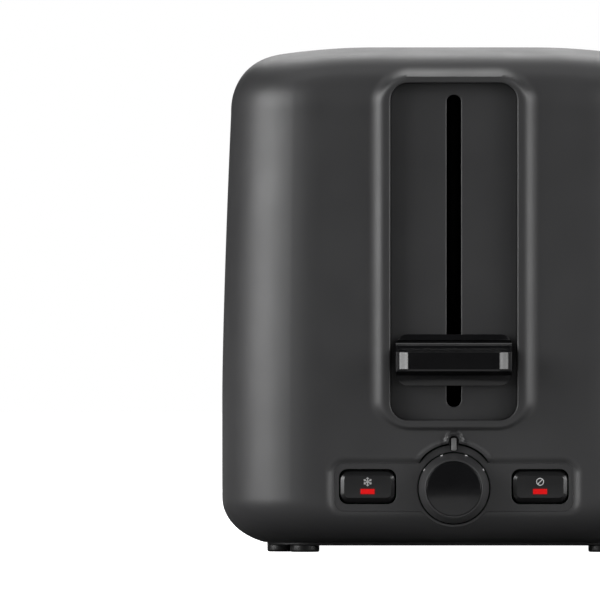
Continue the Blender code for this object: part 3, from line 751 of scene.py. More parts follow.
def turn_in_foot(points, faces, foot, outward):
    """A narrow lip inside the housing's lower edge."""
    count = len(foot)
    start = len(points)
    for i, (dx, dy) in zip(foot, outward):
        x, y, z = points[i]
        points.append((x - dx * FOOT_LIP[0], y - dy * FOOT_LIP[0], z + FOOT_LIP[1]))
    for column in range(count):
        other = (column + 1) % count
        faces.append((foot[other], foot[column], start + column, start + other))


def build_housing():
    points, top_faces, edge = housing_top()
    rows = housing_rows()
    pivot, outward = outward_directions(np.array([points[i] for i in edge]))
    grid = housing_wall(rows, pivot, outward)
    count = len(edge)
    first = len(points)
    index = [edge]
    for row in range(len(rows)):
        index.append(list(range(first + row * count, first + (row + 1) * count)))
    points += [tuple(point) for point in grid.reshape(-1, 3)]
    faces = wall_cells(index, grid, outward)
    cut_wall_openings(points, faces, rows, count)
    turn_in_foot(points, faces, index[-1], outward)
    add_piece("housing_shell", points, top_faces + faces, "satin_anthracite",
              node="outer_housing", angle=50)


# Front panel, lever and controls -----------------------------------------------------------
def build_track_plate():
    """The floor of the lever recess with its long slot."""
    def slot(u, v):
        return box_distance(u, v, *TRACK_SLOT_OUTLINE)

    def surface(_, z):
        return FRONT - RIM_PROUD + RECESS_DEPTH + lean(z)

    x_lines = both_sides(spread((0, 0.0045, 0.0005), (0.0045, 0.0185, 0.002), (0.0185, 0.0256, 0.0008)))
    z_lines = spread((0.0544, 0.0660, 0.0007), (0.0660, 0.1815, 0.004), (0.1815, 0.1916, 0.0007))
    plate = rounded_plate((x_lines, z_lines), recess_distance, slot, (0.0003, 0.0005),
                          (0.0024, 0.0024), surface, (0, 2))
    add_piece("track_plate", *plate, "satin_anthracite", node="lever_track_plate", angle=50)


def lever_retreat(x):
    """How far the paddle's front lies behind its tip: slanted ends, then curved sides."""
    start, end = (math.radians(angle) for angle in LEVER_SLANT)
    side = math.radians(LEVER_SIDE)
    run = LEVER_HALF - LEVER_CORNER - LEVER_FLAT
    over = max(abs(x) - LEVER_FLAT, 0)
    slanted = min(over, run)
    retreat = slanted * (math.tan(start) + (math.tan(end) - math.tan(start)) * slanted / run / 2)
    radius = LEVER_CORNER / (1 - math.sin(side))
    sine = math.sin(side) + max(over - run, 0) / radius
    return retreat + radius * (math.cos(side) - math.sqrt(max(1 - sine ** 2, 0)))


def lever_profile(front):
    """Section of the paddle: a thin shelf that sweeps up to a bead along the back plate."""
    low, high = SHELF_Z
    lower, upper = SHELF_ROUNDS
    profile = [(PLATE_FLOOR, low)]
    profile += arc((front + lower, low + lower), lower, 270, 180, 5)
    profile += [(front, low + lower + 0.0003), (front, high - upper - 0.0003)]
    profile += arc((front + upper, high - upper), upper, 180, 95, 4)
    run = PLATE_FRONT - SWEEP_END - front - upper
    profile += [(front + upper + run * share, high + rise) for share, rise in SWEEP]
    profile += [(PLATE_FRONT + ahead, z) for ahead, z in BEAD]
    return profile + [(PLATE_FLOOR, BEAD[-1][1])]


def clipped_outline(outline, low):
    """The part of a convex outline above a height, closed along that height."""
    points = []
    for (x0, z0), (x1, z1) in zip(outline, outline[1:] + outline[:1]):
        if z0 >= low:
            points.append((x0, z0))
        if (z0 - low) * (z1 - low) < 0:
            share = (low - z0) / (z1 - z0)
            points.append((x0 + (x1 - x0) * share, low))
    return points


def plate_lip(centre, half, inner, mirrored):
    """A raised lip along the back plate's upper edge, or mirrored along its lower edge."""
    outlines = []
    for shrink, y in ((0, PLATE_FLOOR + 0.0002), (0, PLATE_FRONT + 0.0004),
                      (0.0001, PLATE_FRONT + 0.0001), (0.0004, PLATE_FRONT)):
        size = (half[0] - shrink, half[1] - shrink)
        outline = clipped_outline(rounded_outline(centre, size, PLATE_RADIUS - shrink), inner)
        if mirrored:
            outline = [(x, sum(PLATE_Z) - z) for x, z in outline]
        outlines.append((outline, y))
    return stacked(outlines)


def build_lever():
    """A glossy paddle on a back plate that is thicker along its upper and lower edges."""
    centre = (0, sum(PLATE_Z) / 2)
    half = (PLATE_HALF, PLATE_Z[1] - centre[1])
    layers = ((0.0004, LEVER_BACK), (0, LEVER_BACK - 0.0004), (0, PLATE_FLOOR))
    plate = merged(block(centre, half, PLATE_RADIUS, layers),
                   plate_lip(centre, half, UPPER_LIP, False),
                   plate_lip(centre, half, LOWER_LIP, True))
    add_piece("lever_back_plate", *plate, "gloss_black", body="carriage", angle=30)

    slanted_end = LEVER_HALF - LEVER_CORNER
    stations = both_sides(spread((0, LEVER_FLAT, 0.006), (LEVER_FLAT, slanted_end, 0.0006),
                                 (slanted_end, LEVER_HALF, 0.00018)))
    rings = []
    for x in stations:
        rings.append([(x, y, z) for y, z in lever_profile(LEVER_TIP + lever_retreat(x))])
    add_piece("lever_paddle", *skin(rings), "gloss_black", body="carriage", node="lever_grip", angle=25)


def build_fascia():
    """The panel insert: flat, with a round hole for the knob and two button pockets."""
    clearance = 0.00005

    def outline(u, v):
        return panel_distance(u, v, BOSS_GROW) + clearance

    def holes(u, v):
        pocket = box_distance(np.abs(u), v, (BUTTON_X, BUTTON_Z), POCKET_HALF, POCKET_RADIUS)
        return np.minimum(pocket, circle_distance(u, v, (0, CONTROL_Z), KNOB_HOLE))

    def surface(x, _):
        return np.full_like(x, PANEL_FRONT)

    x_lines = both_sides(spread((0, 0.0175, 0.0004), (0.0175, 0.050, 0.0008)))
    z_lines = spread((0.0095, 0.050, 0.0004))
    panel = rounded_plate((x_lines, z_lines), outline, holes, (0.00012, 0.0002),
                          (0.0034, 0.0034), surface, (0, 2))
    add_piece("panel_insert", *panel, "satin_anthracite", node="control_fascia", angle=50)


def build_index():
    """The fixed mark over the knob, its light grey painted darker as shade, in a dark seat that is a
    thin black sheet of painted shade standing for the slot round it.
    """
    layers = ((0, PANEL_FRONT + 0.0001), (0, PANEL_FRONT - 0.00005))
    # The seat is a black sheet flush with the panel: painted shade for the deep slot round the mark
    seat = block(INDEX_CENTRE, INDEX_SHADE_HALF, INDEX_SHADE_RADIUS, layers)
    add_piece("index_seat", *seat, "blackened_steel")
    front = PANEL_FRONT - INDEX_PROUD
    layers = ((0, PANEL_FRONT - 0.0001), (0, front + 0.0003), (0.0001, front + 0.0001), (0.0003, front))
    mark = block(INDEX_CENTRE, INDEX_HALF, INDEX_RADIUS, layers)
    add_piece("index_mark", *mark, "index_grey", node="knob_index", angle=30, slot="light_grey")


def scale_mark(turn):
    """A small bar on the knob's skirt, turned from the top by an angle in degrees."""
    angle = math.radians(90 + turn)
    out_x, out_z = math.cos(angle), math.sin(angle)
    rings = []
    for side in (-MARK_HALF, MARK_HALF):
        ring = []
        for radius, ahead in MARK_SECTION:
            x = out_x * radius - out_z * side
            z = CONTROL_Z + out_z * radius + out_x * side
            ring.append((x, PANEL_FRONT - ahead, z))
        rings.append(ring)
    return skin(rings)


def build_knob():
    """A tapered ring round a polished, slightly domed cap, with marks on its skirt."""
    centre = (0, CONTROL_Z)
    front = PANEL_FRONT - KNOB_LENGTH
    back = PANEL_FRONT + KNOB_TAIL
    seat = front + KNOB_SEAT
    inner = CAP_RADIUS + 0.0002
    ring = [(KNOB_BORE, back), (KNOB_SKIRT - 0.0004, back), (KNOB_SKIRT, back - 0.0004),
            (KNOB_SKIRT, PANEL_FRONT)]
    ring += arc((KNOB_SKIRT - 0.0001, PANEL_FRONT - 0.0008), 0.0003, 20, -10, 2)
    ring += arc((inner + 0.0004, front + 0.0003), 0.0002, -10, -90, 3)
    ring += [(inner + 0.0002, front + 0.0001), (inner, front + 0.0004), (inner, seat), (KNOB_BORE, seat)]
    add_piece("knob_ring", *lathe("Y", centre, ring, 96), "satin_anthracite", body="knob",
              node="browning_knob", angle=38)

    cap = [(0, seat - 0.0002), (CAP_RADIUS, seat - 0.0002), (CAP_RADIUS + 0.0001, seat - 0.0003)]
    cap += arc((CAP_RADIUS + 0.00003, front + CAP_EDGE), CAP_EDGE, 0, -80, 2)
    for radius in (0.0107, 0.0090, 0.0070, 0.0050, 0.0030, 0.0015, 0):
        cap.append((radius, front - CAP_DOME * (1 - (radius / CAP_RADIUS) ** 2)))
    add_piece("knob_face", *lathe("Y", centre, cap, 96), "gloss_black", body="knob",
              node="knob_cap", angle=38)
    marks = merged(*[scale_mark(turn) for turn in MARK_TURNS])
    add_piece("knob_scale", *marks, "light_grey", body="knob", angle=30)


def flat_bar(centre, direction, half_length, half_width):
    across = (-direction[1], direction[0])
    corners = []
    for along, side in ((-1, -1), (1, -1), (1, 1), (-1, 1)):
        corners.append((centre[0] + direction[0] * half_length * along + across[0] * half_width * side,
                        centre[1] + direction[1] * half_length * along + across[1] * half_width * side))
    return stacked([(corners, y) for y in SIGN_DEPTHS])


def shifted(place, direction, distance):
    return place[0] + direction[0] * distance, place[1] + direction[1] * distance


def snowflake(centre):
    """Three crossed bars with a pair of barbs near each end."""
    reach = SNOWFLAKE_SIZE * 0.17
    bars = []
    for k in range(6):
        angle = math.radians(90 + 60 * k)
        out = (math.cos(angle), math.sin(angle))
        middle = shifted(centre, out, SNOWFLAKE_SIZE * 0.5)
        bars.append(flat_bar(middle, out, SNOWFLAKE_SIZE / 2, SIGN_STROKE))
        root = shifted(centre, out, SNOWFLAKE_SIZE * 0.6)
        for turn in (-1, 1):
            barb = angle + math.radians(50 * turn)
            along = (math.cos(barb), math.sin(barb))
            bars.append(flat_bar(shifted(root, along, reach), along, reach, SIGN_STROKE * 0.8))
    return merged(*bars)


def stop_sign(centre):
    """A ring with a bar across it."""
    low, high = SIGN_DEPTHS
    hollow = STOP_SIZE - 2 * SIGN_STROKE
    ring = lathe("Y", centre, [(STOP_SIZE, low), (STOP_SIZE, high), (hollow, high), (hollow, low)], 40)
    slash = flat_bar(centre, (math.sqrt(0.5), math.sqrt(0.5)), hollow, SIGN_STROKE)
    return merged(ring, slash)


def build_buttons():
    """Cushion-shaped keys, each with a lit lens and a printed sign."""
    for name, x, draw_sign in (("defrost", -BUTTON_X, snowflake), ("stop", BUTTON_X, stop_sign)):
        body = f"{name}_button"
        outlines = []
        for half, radius, behind in KEY_SECTIONS:
            outlines.append((rounded_outline((x, BUTTON_Z), half, radius, 8), KEY_FACE + behind))
        add_piece(f"{name}_key", *stacked(outlines), "key_black", body=body, node=body, angle=28,
                  slot="matte_black")
        layers = ((0, LAMP_ROOT), (0, KEY_FACE - 0.00004))
        rim = block((x, LAMP_Z), LAMP_HALF, LAMP_RADIUS, layers, 3)
        add_piece(f"{name}_lamp_rim", *rim, "red_rim", body=body, slot="red_lens")
        layers = ((LAMP_RIM, LAMP_ROOT), (LAMP_RIM, KEY_FACE - 0.00006),
                  (LAMP_RIM + 0.00005, KEY_FACE - 0.0001))
        lens = block((x, LAMP_Z), LAMP_HALF, LAMP_RADIUS, layers, 3)
        add_piece(f"{name}_lamp", *lens, "red_lens", body=body, node=f"{name}_light", angle=30)
        add_piece(f"{name}_sign", *draw_sign((x, SIGN_Z)), "light_grey", body=body, angle=30)


# Top, inside, underneath and back ----------------------------------------------------------
def build_collars():
    """Pressed steel lips round the bread slots, with a rolled upper edge."""
    low, top = COLLAR_Z
    # Section: distance from the outer face, height
    section = ((0, low), (0, top - 0.0005), (0.0001, top - 0.0002), (COLLAR_WALL / 2, top),
               (COLLAR_WALL - 0.0001, top - 0.0002), (COLLAR_WALL, top - 0.0005), (COLLAR_WALL, low))
    for name, side in (("left", -1), ("right", 1)):
        rings = []
        for shrink, z in section:
            half = (SLOT_HALF[0] - COLLAR_GAP - shrink, SLOT_HALF[1] - COLLAR_GAP - shrink)
            outline = rounded_outline((side * SLOT_X, SLOT_Y), half, COLLAR_RADIUS - shrink, 8)
            rings.append([(x, y, z) for x, y in outline])
        add_piece(f"slot_lip_{name}", *skin(rings, wraps=True), "bright_steel",
                  node=f"slot_collar_{name}", angle=35)


def guard_wires(x, inward):
    """Uprights on the bread side, cross wires behind them."""
    upright_x, cross_x = x + inward * GUARD_LAP, x - inward * GUARD_LAP
    wires = []
    for y in np.linspace(*GUARD_Y, GUARD_UPRIGHTS):
        wires.append([(upright_x, y, z) for z in GUARD_Z])
    for z in np.linspace(*GUARD_Z, GUARD_CROSS_WIRES):
        wires.append([(cross_x, y, z) for y in GUARD_Y])
    return merged(*[tube(wire, GUARD_WIRE, 8) for wire in wires])


def build_guards():
    """Welded wire grids on both sides of each slice."""
    for side_name, side in (("left", -1), ("right", 1)):
        for place, way in (("outer", 1), ("inner", -1)):
            x = side * (SLOT_X + way * GUARD_OFFSET)
            name = f"{side_name}_{place}"
            add_piece(f"guard_wires_{name}", *guard_wires(x, -side * way), "bright_steel",
                      body=f"guard_{name}", node=f"bread_guard_{name}", angle=50)


def build_lift_spring():
    """A wire helix, on a mesh of its own."""
    path = []
    for i in range(SPRING_TURNS * TURN_STEPS + 1):
        angle = 2 * math.pi * i / TURN_STEPS
        z = SPRING_Z[0] + (SPRING_Z[1] - SPRING_Z[0]) * i / (SPRING_TURNS * TURN_STEPS)
        x = SPRING_X + SPRING_RADIUS * math.cos(angle)
        path.append((x, SPRING_Y + SPRING_RADIUS * math.sin(angle), z))
    wire = tube(path, SPRING_WIRE, 6)
    spring = add_piece("spring_wire", *wire, "bright_steel", node="lift_spring", angle=60)
    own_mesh(spring)


def build_feet():
    """Moulded pads with a rounded rim and a shallow dish underneath."""
    profile = [(0, 0.0003), (0.0036, 0.0003), (0.0042, 0.0001), (0.0047, 0)]
    profile += arc((0.0052, 0.0008), 0.0008, -90, 0, 5)
    profile += [(0.0060, 0.0031), (0, 0.0031)]
    for end, along in (("front", -1), ("rear", 1)):
        for name, side in (("left", -1), ("right", 1)):
            for pad, x, y in FOOT_PLACES:
                shape = lathe("Z", (side * x, along * y), profile, 40)
                add_piece(f"pad_{end}_{name}_{pad}", *shape, "rubber_black",
                          node=f"foot_{end}_{name}_{pad}")


def build_base():
    """The bottom plate with rows of air slots and wells for the screws."""
    half = (HALF_WIDTH - BASE_INSET, HALF_DEPTH - BASE_INSET)

    def vents(u, v):
        across = np.abs(np.abs(u) - SLOT_X)
        along = v - SLOT_Y
        row = np.abs((along + VENT_REACH) % VENT_PITCH - VENT_PITCH / 2)
        slot = box_distance(across, row, (0, 0), VENT_HALF, VENT_RADIUS)
        return np.maximum(slot, np.abs(along) - VENT_REACH)

    def openings(u, v):
        wells = circle_distance(np.abs(u), np.abs(v), WELL_PLACE, WELL_RADIUS)
        return np.minimum(vents(u, v), wells)

    def outline(u, v):
        return box_distance(u, v, (0, 0), half, PLAN_RADIUS - BASE_INSET)

    def surface(x, _):
        return np.full_like(x, BASE_BOTTOM)

    lines = (both_sides(spread((0, 0.0765, 0.0011))), spread((-0.1266, 0.1266, 0.0008)))
    plate = rounded_plate(lines, outline, openings, (0.0006, 0.0003), (BASE_HEIGHT, WELL_DEPTH),
                          surface, (0, 1))
    add_piece("bottom_plate", *plate, "matte_black", node="base_plate", angle=50)


def build_tray_handle():
    """A bar across the back with rounded ends and a grip hollow under its lip."""
    lip = HALF_DEPTH + 0.001
    section = [(GRIP_START, 0.0112), (HALF_DEPTH - 0.0005, 0.0112)]
    section += arc((HALF_DEPTH + 0.005, GRIP_MIDDLE[1]), 0.0010, -60, 60, 4)
    section += [(lip + 0.0015, 0.0192), (lip, 0.0198), (lip - 0.0003, 0.0222), (GRIP_START, 0.0228)]
    stations = [(inset - GRIP_HALF, shrink) for inset, shrink in GRIP_ENDS]
    stations += [(-x, shrink) for x, shrink in reversed(stations)]
    rings = []
    for x, shrink in stations:
        scale = 1 - shrink / GRIP_SIZE
        ring = []
        for y, z in section:
            ring.append((x, GRIP_MIDDLE[0] + (y - GRIP_MIDDLE[0]) * scale,
                         GRIP_MIDDLE[1] + (z - GRIP_MIDDLE[1]) * scale))
        rings.append(ring)
    add_piece("tray_grip", *skin(rings), "matte_black", body="tray", node="crumb_tray_handle", angle=35)


def build_gland():
    """A collar with three soft ribs round the cable hole."""
    flange = HALF_DEPTH + 0.0003
    nose = HALF_DEPTH + 0.0050
    inner_end = HALF_DEPTH - 0.008
    profile = [(GLAND_BORE, inner_end), (0.0056, inner_end), (0.0056, flange),
               (GLAND_FLANGE - 0.0003, flange), (GLAND_FLANGE, flange + 0.0003),
               (GLAND_FLANGE, flange + 0.0009), (GLAND_FLANGE - 0.0003, flange + 0.0012)]
    steps = GLAND_RIBS * RIB_STEPS
    for k in range(steps + 1):
        share = k / steps
        radius = 0.0064 - 0.0012 * share + 0.00025 * math.cos(2 * math.pi * GLAND_RIBS * share)
        profile.append((radius, flange + 0.0014 + (nose - flange - 0.0018) * share))
    profile += [(0.0048, nose), (0.0038, nose), (GLAND_BORE, nose - 0.0003)]
    add_piece("cable_gland", *lathe("Y", GLAND_PLACE, profile, 56), "matte_black",
              node="cord_gland", angle=35)


def soften_cad_nodes():
    """Small rounded edges on the CAD nodes that can be seen through the slots."""
    for name in ("carriage", "keeper_plate", "rack_left", "rack_right", "lever_arm", "magnet_core",
                 "circuit_board", "potentiometer", "mains_contacts", "front_frame", "rear_frame"):
        modifier = frame["nodes"][name].modifiers.new("rounded_edges", "BEVEL")
        modifier.width = 0.00025
        modifier.segments = 2
        modifier.limit_method = "ANGLE"
        modifier.angle_limit = math.radians(35)
        modifier.harden_normals = True


# Materials ---------------------------------------------------------------------------------
class Shading:
    """A Principled material with a few helpers for its nodes."""

    def __init__(self, name, roughness=0.5, metallic=0.0):
        self.material = bpy.data.materials.new(name)
        self.material.use_nodes = True
        self.tree = self.material.node_tree
        self.shader = self.tree.nodes["Principled BSDF"]
        self.shader.inputs["Base Color"].default_value = (0.5, 0.5, 0.5, 1)
        self.shader.inputs["Roughness"].default_value = roughness
        self.shader.inputs["Metallic"].default_value = metallic
        self.place = self.node("ShaderNodeTexCoord").outputs["Object"]

    def node(self, kind, **values):
        node = self.tree.nodes.new(kind)
        for key, value in values.items():
            setattr(node, key, value)
        return node

    def link(self, source, target):
        self.tree.links.new(source, target)

    def pattern(self, kind, scale, vector=None, **values):
        """A texture node of the given scale, on the object's own coordinates."""
        texture = self.node(kind, **values)
        texture.inputs["Scale"].default_value = scale
        self.link(vector or self.place, texture.inputs["Vector"])
        return texture

    def noise(self, scale, detail=3.0, vector=None):
        noise = self.pattern("ShaderNodeTexNoise", scale, vector)
        noise.inputs["Detail"].default_value = detail
        return noise.outputs["Fac"]

    def cells(self, scale, feature="F1"):
        return self.pattern("ShaderNodeTexVoronoi", scale, feature=feature)

    def stretched(self, scale):
        mapping = self.node("ShaderNodeMapping")
        mapping.inputs["Scale"].default_value = scale
        self.link(self.place, mapping.inputs["Vector"])
        return mapping.outputs["Vector"]

    def ramp(self, source, stops):
        ramp = self.node("ShaderNodeValToRGB")
        elements = ramp.color_ramp.elements
        while len(elements) < len(stops):
            elements.new(0.5)
        for element, (position, colour) in zip(elements, stops):
            element.position = position
            element.color = (*colour, 1)
        self.link(source, ramp.inputs["Fac"])
        return ramp.outputs["Color"]

    def spread_value(self, source, low, high, start=0.3, end=0.7):
        span = self.node("ShaderNodeMapRange")
        span.inputs["From Min"].default_value = start
        span.inputs["From Max"].default_value = end
        span.inputs["To Min"].default_value = low
        span.inputs["To Max"].default_value = high
        self.link(source, span.inputs["Value"])
        return span.outputs["Result"]

    def colour(self, source, *stops):
        """Colour by a pattern: stops are pairs of its value and a colour."""
        self.link(self.ramp(source, stops), self.shader.inputs["Base Color"])

    def roughness(self, source, low, high):
        self.link(self.spread_value(source, low, high), self.shader.inputs["Roughness"])

    def bump(self, source, strength, distance):
        bump = self.node("ShaderNodeBump")
        bump.inputs["Strength"].default_value = strength
        bump.inputs["Distance"].default_value = distance
        self.link(source, bump.inputs["Height"])
        self.link(bump.outputs["Normal"], self.shader.inputs["Normal"])


def grey(value, blue=0.0):
    """A grey, with a little more blue if asked."""
    return value, value, value + blue


def plastic(name, dark, light, roughness, grain_scale, grain_depth, level=0.5):
    """Moulded plastic: a fine spark-eroded grain and a faint unevenness of tone."""
    shading = Shading(name)
    shading.shader.inputs["Specular IOR Level"].default_value = level
    shading.colour(shading.noise(14, 4), (0.35, dark), (0.65, light))
    shading.roughness(shading.noise(60, 5), *roughness)
    shading.bump(shading.noise(grain_scale, 2), 0.35, grain_depth)
    return shading.material


def satin_anthracite(name):
    return plastic(name, grey(0.0300, 0.0010), grey(0.0325, 0.0010), (0.40, 0.46), 2600, 0.00003)


def matte_black(name):
    return plastic(name, grey(0.0105, 0.0005), grey(0.0125, 0.0005), (0.42, 0.50), 3000, 0.00003)


def key_black(name):
    """As matte_black but worn smooth where fingers press it."""
    return plastic(name, grey(0.0125, 0.0005), grey(0.0145, 0.0005), (0.28, 0.36), 3000, 0.00001)


def gloss_black(name):
    """Polished black with the faintest ripple and dust-fine dulling."""
    shading = Shading(name)
    shading.colour(shading.noise(30), (0.3, grey(0.0055, 0.0005)), (0.7, grey(0.0075, 0.0005)))
    shading.roughness(shading.noise(220, 4), 0.10, 0.16)
    shading.bump(shading.noise(90, 2), 0.05, 0.00005)
    return shading.material


def rubber_black(name):
    shading = Shading(name)
    shading.colour(shading.noise(150), (0.3, grey(0.010)), (0.7, grey(0.015)))
    shading.roughness(shading.noise(400), 0.25, 0.40)
    shading.bump(shading.noise(1800, 2), 0.3, 0.00004)
    return shading.material


def light_grey(name):
    """Pad-printed signs."""
    return plastic(name, grey(0.46), grey(0.52), (0.45, 0.55), 3000, 0.00002)


# The light grey of the index mark, painted darker with the shade of the hood over it
def index_grey(name):
    return plastic(name, grey(0.118), grey(0.132), (0.40, 0.50), 3000, 0.00002)


def red_lens(name):
    """A lit lens: even red with a slight mottle."""
    shading = Shading(name)
    shading.shader.inputs["Emission Color"].default_value = (0.90, 0.004, 0.004, 1)
    shading.shader.inputs["Emission Strength"].default_value = 0.36
    shading.shader.inputs["Specular IOR Level"].default_value = 0.25
    shading.colour(shading.noise(900), (0.3, (0.36, 0.003, 0.004)), (0.7, (0.44, 0.006, 0.008)))
    shading.roughness(shading.noise(500), 0.25, 0.35)
    return shading.material


def red_rim(name):
    """The unlit edge of a lens."""
    return plastic(name, (0.075, 0.003, 0.003), (0.095, 0.004, 0.004), (0.35, 0.45), 3000, 0.00001)


def blackened_steel(name):
    """Near-black, faintly blotched, with a soft sheen: painted shade, darker than the part's own colour,
    as dark as the shadowed hollows it stands for.
    """
    return plastic(name, grey(0.0060, 0.0003), grey(0.0100, 0.0004), (0.45, 0.60), 1800, 0.00002, 0.3)


def bright_steel(name):
    """Drawn or rolled steel: fine streaks along one direction and soft stains."""
    shading = Shading(name, metallic=1.0)
    streaks = shading.noise(60, 4, shading.stretched((40, 2, 2)))
    shading.colour(shading.noise(25, 5), (0.3, grey(0.50, 0.01)), (0.7, grey(0.62)))
    shading.roughness(streaks, 0.22, 0.36)
    shading.bump(streaks, 0.15, 0.00003)
    return shading.material


def galvanised_steel(name):
    """Zinc-coated sheet with a faint crystal pattern."""
    shading = Shading(name, metallic=1.0)
    crystals = shading.cells(160).outputs["Color"]
    shading.colour(crystals, (0.2, (0.34, 0.35, 0.36)), (0.8, (0.50, 0.51, 0.52)))
    shading.roughness(crystals, 0.34, 0.52)
    shading.bump(shading.noise(900, 3), 0.12, 0.00003)
    return shading.material


def mica(name):
    """Pressed mica: warm, flaky, with small glints."""
    shading = Shading(name)
    flakes = shading.cells(420)
    shading.colour(flakes.outputs["Color"], (0.1, (0.30, 0.24, 0.16)), (0.5, (0.42, 0.36, 0.26)),
                   (0.9, (0.55, 0.49, 0.38)))
    shading.roughness(flakes.outputs["Color"], 0.25, 0.60)
    shading.bump(flakes.outputs["Distance"], 0.3, 0.00010)
    return shading.material


def nichrome(name):
    shading = Shading(name, metallic=1.0)
    shading.colour(shading.noise(120, 5), (0.3, (0.20, 0.17, 0.15)), (0.7, (0.36, 0.31, 0.27)))
    shading.roughness(shading.noise(300), 0.35, 0.60)
    shading.bump(shading.noise(800), 0.2, 0.00004)
    return shading.material


def copper(name):
    """Enamelled wire wound in tight turns."""
    shading = Shading(name, metallic=1.0)
    turns = shading.pattern("ShaderNodeTexWave", 900, bands_direction="Z").outputs["Fac"]
    shading.colour(turns, (0.1, (0.26, 0.09, 0.04)), (0.6, (0.62, 0.26, 0.12)))
    shading.roughness(turns, 0.25, 0.45)
    shading.bump(turns, 0.8, 0.00025)
    return shading.material


def circuit_green(name):
    """Solder mask over tracks that show as slightly raised paths."""
    shading = Shading(name)
    tracks = shading.cells(180, "DISTANCE_TO_EDGE").outputs["Distance"]
    shading.colour(tracks, (0.02, (0.05, 0.20, 0.08)), (0.08, (0.02, 0.10, 0.04)))
    shading.roughness(shading.noise(300), 0.30, 0.45)
    shading.bump(tracks, 0.3, 0.00010)
    return shading.material


MATERIAL_MAKERS = {maker.__name__: maker for maker in (
    satin_anthracite, matte_black, key_black, gloss_black, rubber_black, light_grey, index_grey,
    red_lens, red_rim, blackened_steel, bright_steel, galvanised_steel, mica, nichrome, copper,
    circuit_green)}


@cache
def finish_material(name):
    return MATERIAL_MAKERS[name](name)


def finish_cad_nodes():
    """Give every CAD node the finish its record names."""
    slots = {part["node"]: part["material_slot"] for part in frame["record"]["subparts"]}
    for name, node in frame["nodes"].items():
        node.data.materials.clear()
        node.data.materials.append(finish_material(slots[name]))


# Studio ------------------------------------------------------------------------------------
CAMERA_DISTANCE = 11.0
CAMERA_HEIGHT = 0.160
FRAME_HEIGHT = 0.1032     # middle of the frame at the front wall
FRAME_WIDTH = 0.2449      # what the frame spans at the front wall
FRAME_OFFSET = -0.0628    # middle of the frame, left of the toaster's middle
SENSOR = 36.0

# Name, azimuth from the front (left is negative), elevation, width, height (degrees), radiance
SOFTBOXES = (
    ("left_edge", -86, 0, 14, 70, 3.4),
    ("left_outer", -74, 0, 14, 70, 6.5),
    ("left_middle", -62, 0, 14, 70, 7.0),
    ("left_inner", -50, 0, 14, 70, 5.4),
    ("left_fill", -32, 10, 22, 60, 0.75),
    ("right_fill", 32, 10, 22, 60, 1.2),
    ("right_inner", 50, 0, 14, 70, 4.2),
    ("right_middle", 62, 0, 14, 70, 5.0),
    ("right_outer", 74, 0, 14, 70, 4.0),
    ("right_edge", 86, 0, 14, 70, 2.0),
    ("overhead_front", 0, 84, 60, 10, 2.2),
    ("overhead", 0, 115, 50, 24, 0.9),
    ("behind_high", 0, 140, 36, 24, 2.5),
    ("behind_low", 0, 163, 24, 24, 1.3),
)
SOFTBOX_DISTANCE = 2.0
SOFTBOX_CENTRE = 0.1

FLOOR_RADIUS = 6.0
FLOOR_CORNERS = 96
# Glowing patches of ground that the dial's face and the lower edge mirror: centre, half size,
# strength
GROUND_PATCHES = (
    ((0, -0.33, 0), (0.14, 0.20, 1), 0.50),
    ((-0.02, -0.19, 0), (0.17, 0.07, 1), 0.17),
    ((-0.50, 0.60, 0), (0.40, 0.70, 1), 0.80),
)


def build_camera():
    data = bpy.data.cameras.new("camera")
    data.sensor_width = SENSOR
    data.lens = SENSOR * CAMERA_DISTANCE / FRAME_WIDTH
    camera = bpy.data.objects.new("camera", data)
    camera.location = (0, FRONT + BODY_Y - CAMERA_DISTANCE, CAMERA_HEIGHT)
    pitch = math.pi / 2 - math.atan2(CAMERA_HEIGHT - FRAME_HEIGHT, CAMERA_DISTANCE)
    camera.rotation_euler = (pitch, 0, math.atan2(-FRAME_OFFSET, CAMERA_DISTANCE))
    bpy.context.collection.objects.link(camera)
    bpy.context.scene.camera = camera


def add_softbox(name, azimuth, elevation, width, height, radiance):
    """An area light seen from the object under the given angles."""
    turn, lift = math.radians(azimuth), math.radians(elevation)
    reach = SOFTBOX_DISTANCE * math.cos(lift)
    rise = SOFTBOX_DISTANCE * math.sin(lift)
    data = bpy.data.lights.new(name, "AREA")
    data.shape = "RECTANGLE"
    data.size = 2 * SOFTBOX_DISTANCE * math.tan(math.radians(width / 2))
    data.size_y = 2 * SOFTBOX_DISTANCE * math.tan(math.radians(height / 2))
    data.energy = math.pi * data.size * data.size_y * radiance
    light = bpy.data.objects.new(name, data)
    light.location = (math.sin(turn) * reach, -math.cos(turn) * reach, SOFTBOX_CENTRE + rise)
    light.rotation_euler = (math.pi / 2 - lift, 0, turn)
    bpy.context.collection.objects.link(light)


def build_world():
    """White behind the object, seen by the camera only."""
    world = bpy.data.worlds.new("studio")
    world.use_nodes = True
    tree = world.node_tree
    background = tree.nodes["Background"]
    background.inputs["Color"].default_value = (1, 1, 1, 1)
    path = tree.nodes.new("ShaderNodeLightPath")
    tree.links.new(path.outputs["Is Camera Ray"], background.inputs["Strength"])
    bpy.context.scene.world = world


def floor_disc(name, z, shading):
    angles = [2 * math.pi * i / FLOOR_CORNERS for i in range(FLOOR_CORNERS)]
    points = [(FLOOR_RADIUS * math.cos(a), FLOOR_RADIUS * math.sin(a), z) for a in angles]
    mesh = bpy.data.meshes.new(name)
    mesh.from_pydata(points, [], [tuple(range(FLOOR_CORNERS))])
    mesh.materials.append(shading.material)
    floor = bpy.data.objects.new(name, mesh)
    bpy.context.collection.objects.link(floor)
    return floor


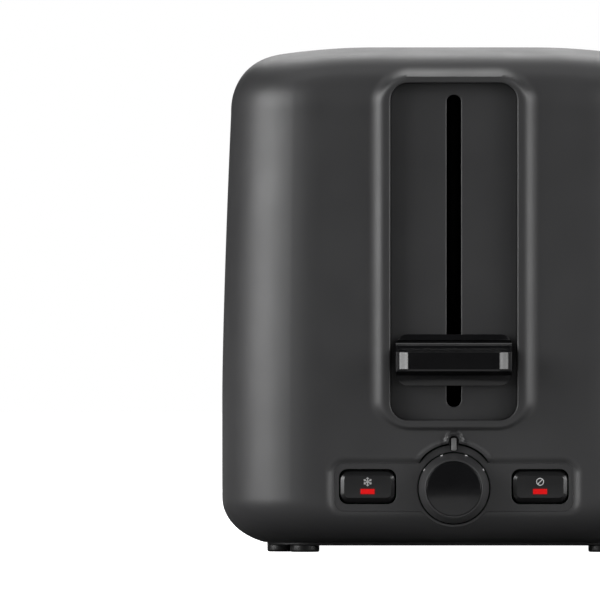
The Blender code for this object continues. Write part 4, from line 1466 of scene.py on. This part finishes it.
def white_ground():
    shading = Shading("white_ground", roughness=0.9)
    shading.colour(shading.noise(3), (0.3, grey(0.82)), (0.7, grey(0.85)))
    shading.shader.inputs["Emission Color"].default_value = (1, 1, 1, 1)
    shading.shader.inputs["Emission Strength"].default_value = 1.1
    return shading


def patch_glow(shading, centre, half, strength):
    """A glow that fades from a patch's centre to its edge."""
    mapping = shading.node("ShaderNodeMapping", vector_type="TEXTURE")
    mapping.inputs["Location"].default_value = centre
    mapping.inputs["Scale"].default_value = half
    shading.link(shading.place, mapping.inputs["Vector"])
    patch = shading.node("ShaderNodeTexGradient", gradient_type="SPHERICAL")
    shading.link(mapping.outputs["Vector"], patch.inputs["Vector"])
    return shading.spread_value(patch.outputs["Fac"], 0, strength, 0, 0.6)


def pale_ground():
    shading = Shading("pale_ground", roughness=0.8)
    shading.colour(shading.noise(3), (0.3, grey(0.29)), (0.7, grey(0.32)))
    total = None
    for centre, half, strength in GROUND_PATCHES:
        glow = patch_glow(shading, centre, half, strength)
        if total is not None:
            both = shading.node("ShaderNodeMath", operation="ADD")
            shading.link(total, both.inputs[0])
            shading.link(glow, both.inputs[1])
            glow = both.outputs[0]
        total = glow
    shading.shader.inputs["Emission Color"].default_value = (1, 1, 1, 1)
    shading.link(total, shading.shader.inputs["Emission Strength"])
    return shading


def build_floor():
    """The white ground the camera sees, and the pale one that lights the object from below."""
    ground = floor_disc("white_ground", -0.0002, white_ground())
    ground.visible_glossy = False
    ground.visible_diffuse = False
    bounce = floor_disc("bounce_ground", -0.0004, pale_ground())
    bounce.visible_camera = False
    bounce.visible_shadow = False


def build_studio():
    build_camera()
    for softbox in SOFTBOXES:
        add_softbox(*softbox)
    build_world()
    build_floor()
    bpy.context.scene.view_settings.view_transform = "Standard"


finish_cad_nodes()
build_housing()
build_track_plate()
build_lever()
build_fascia()
build_index()
build_knob()
build_buttons()
build_collars()
build_guards()
build_lift_spring()
build_feet()
build_base()
build_tray_handle()
build_gland()
soften_cad_nodes()
build_studio()
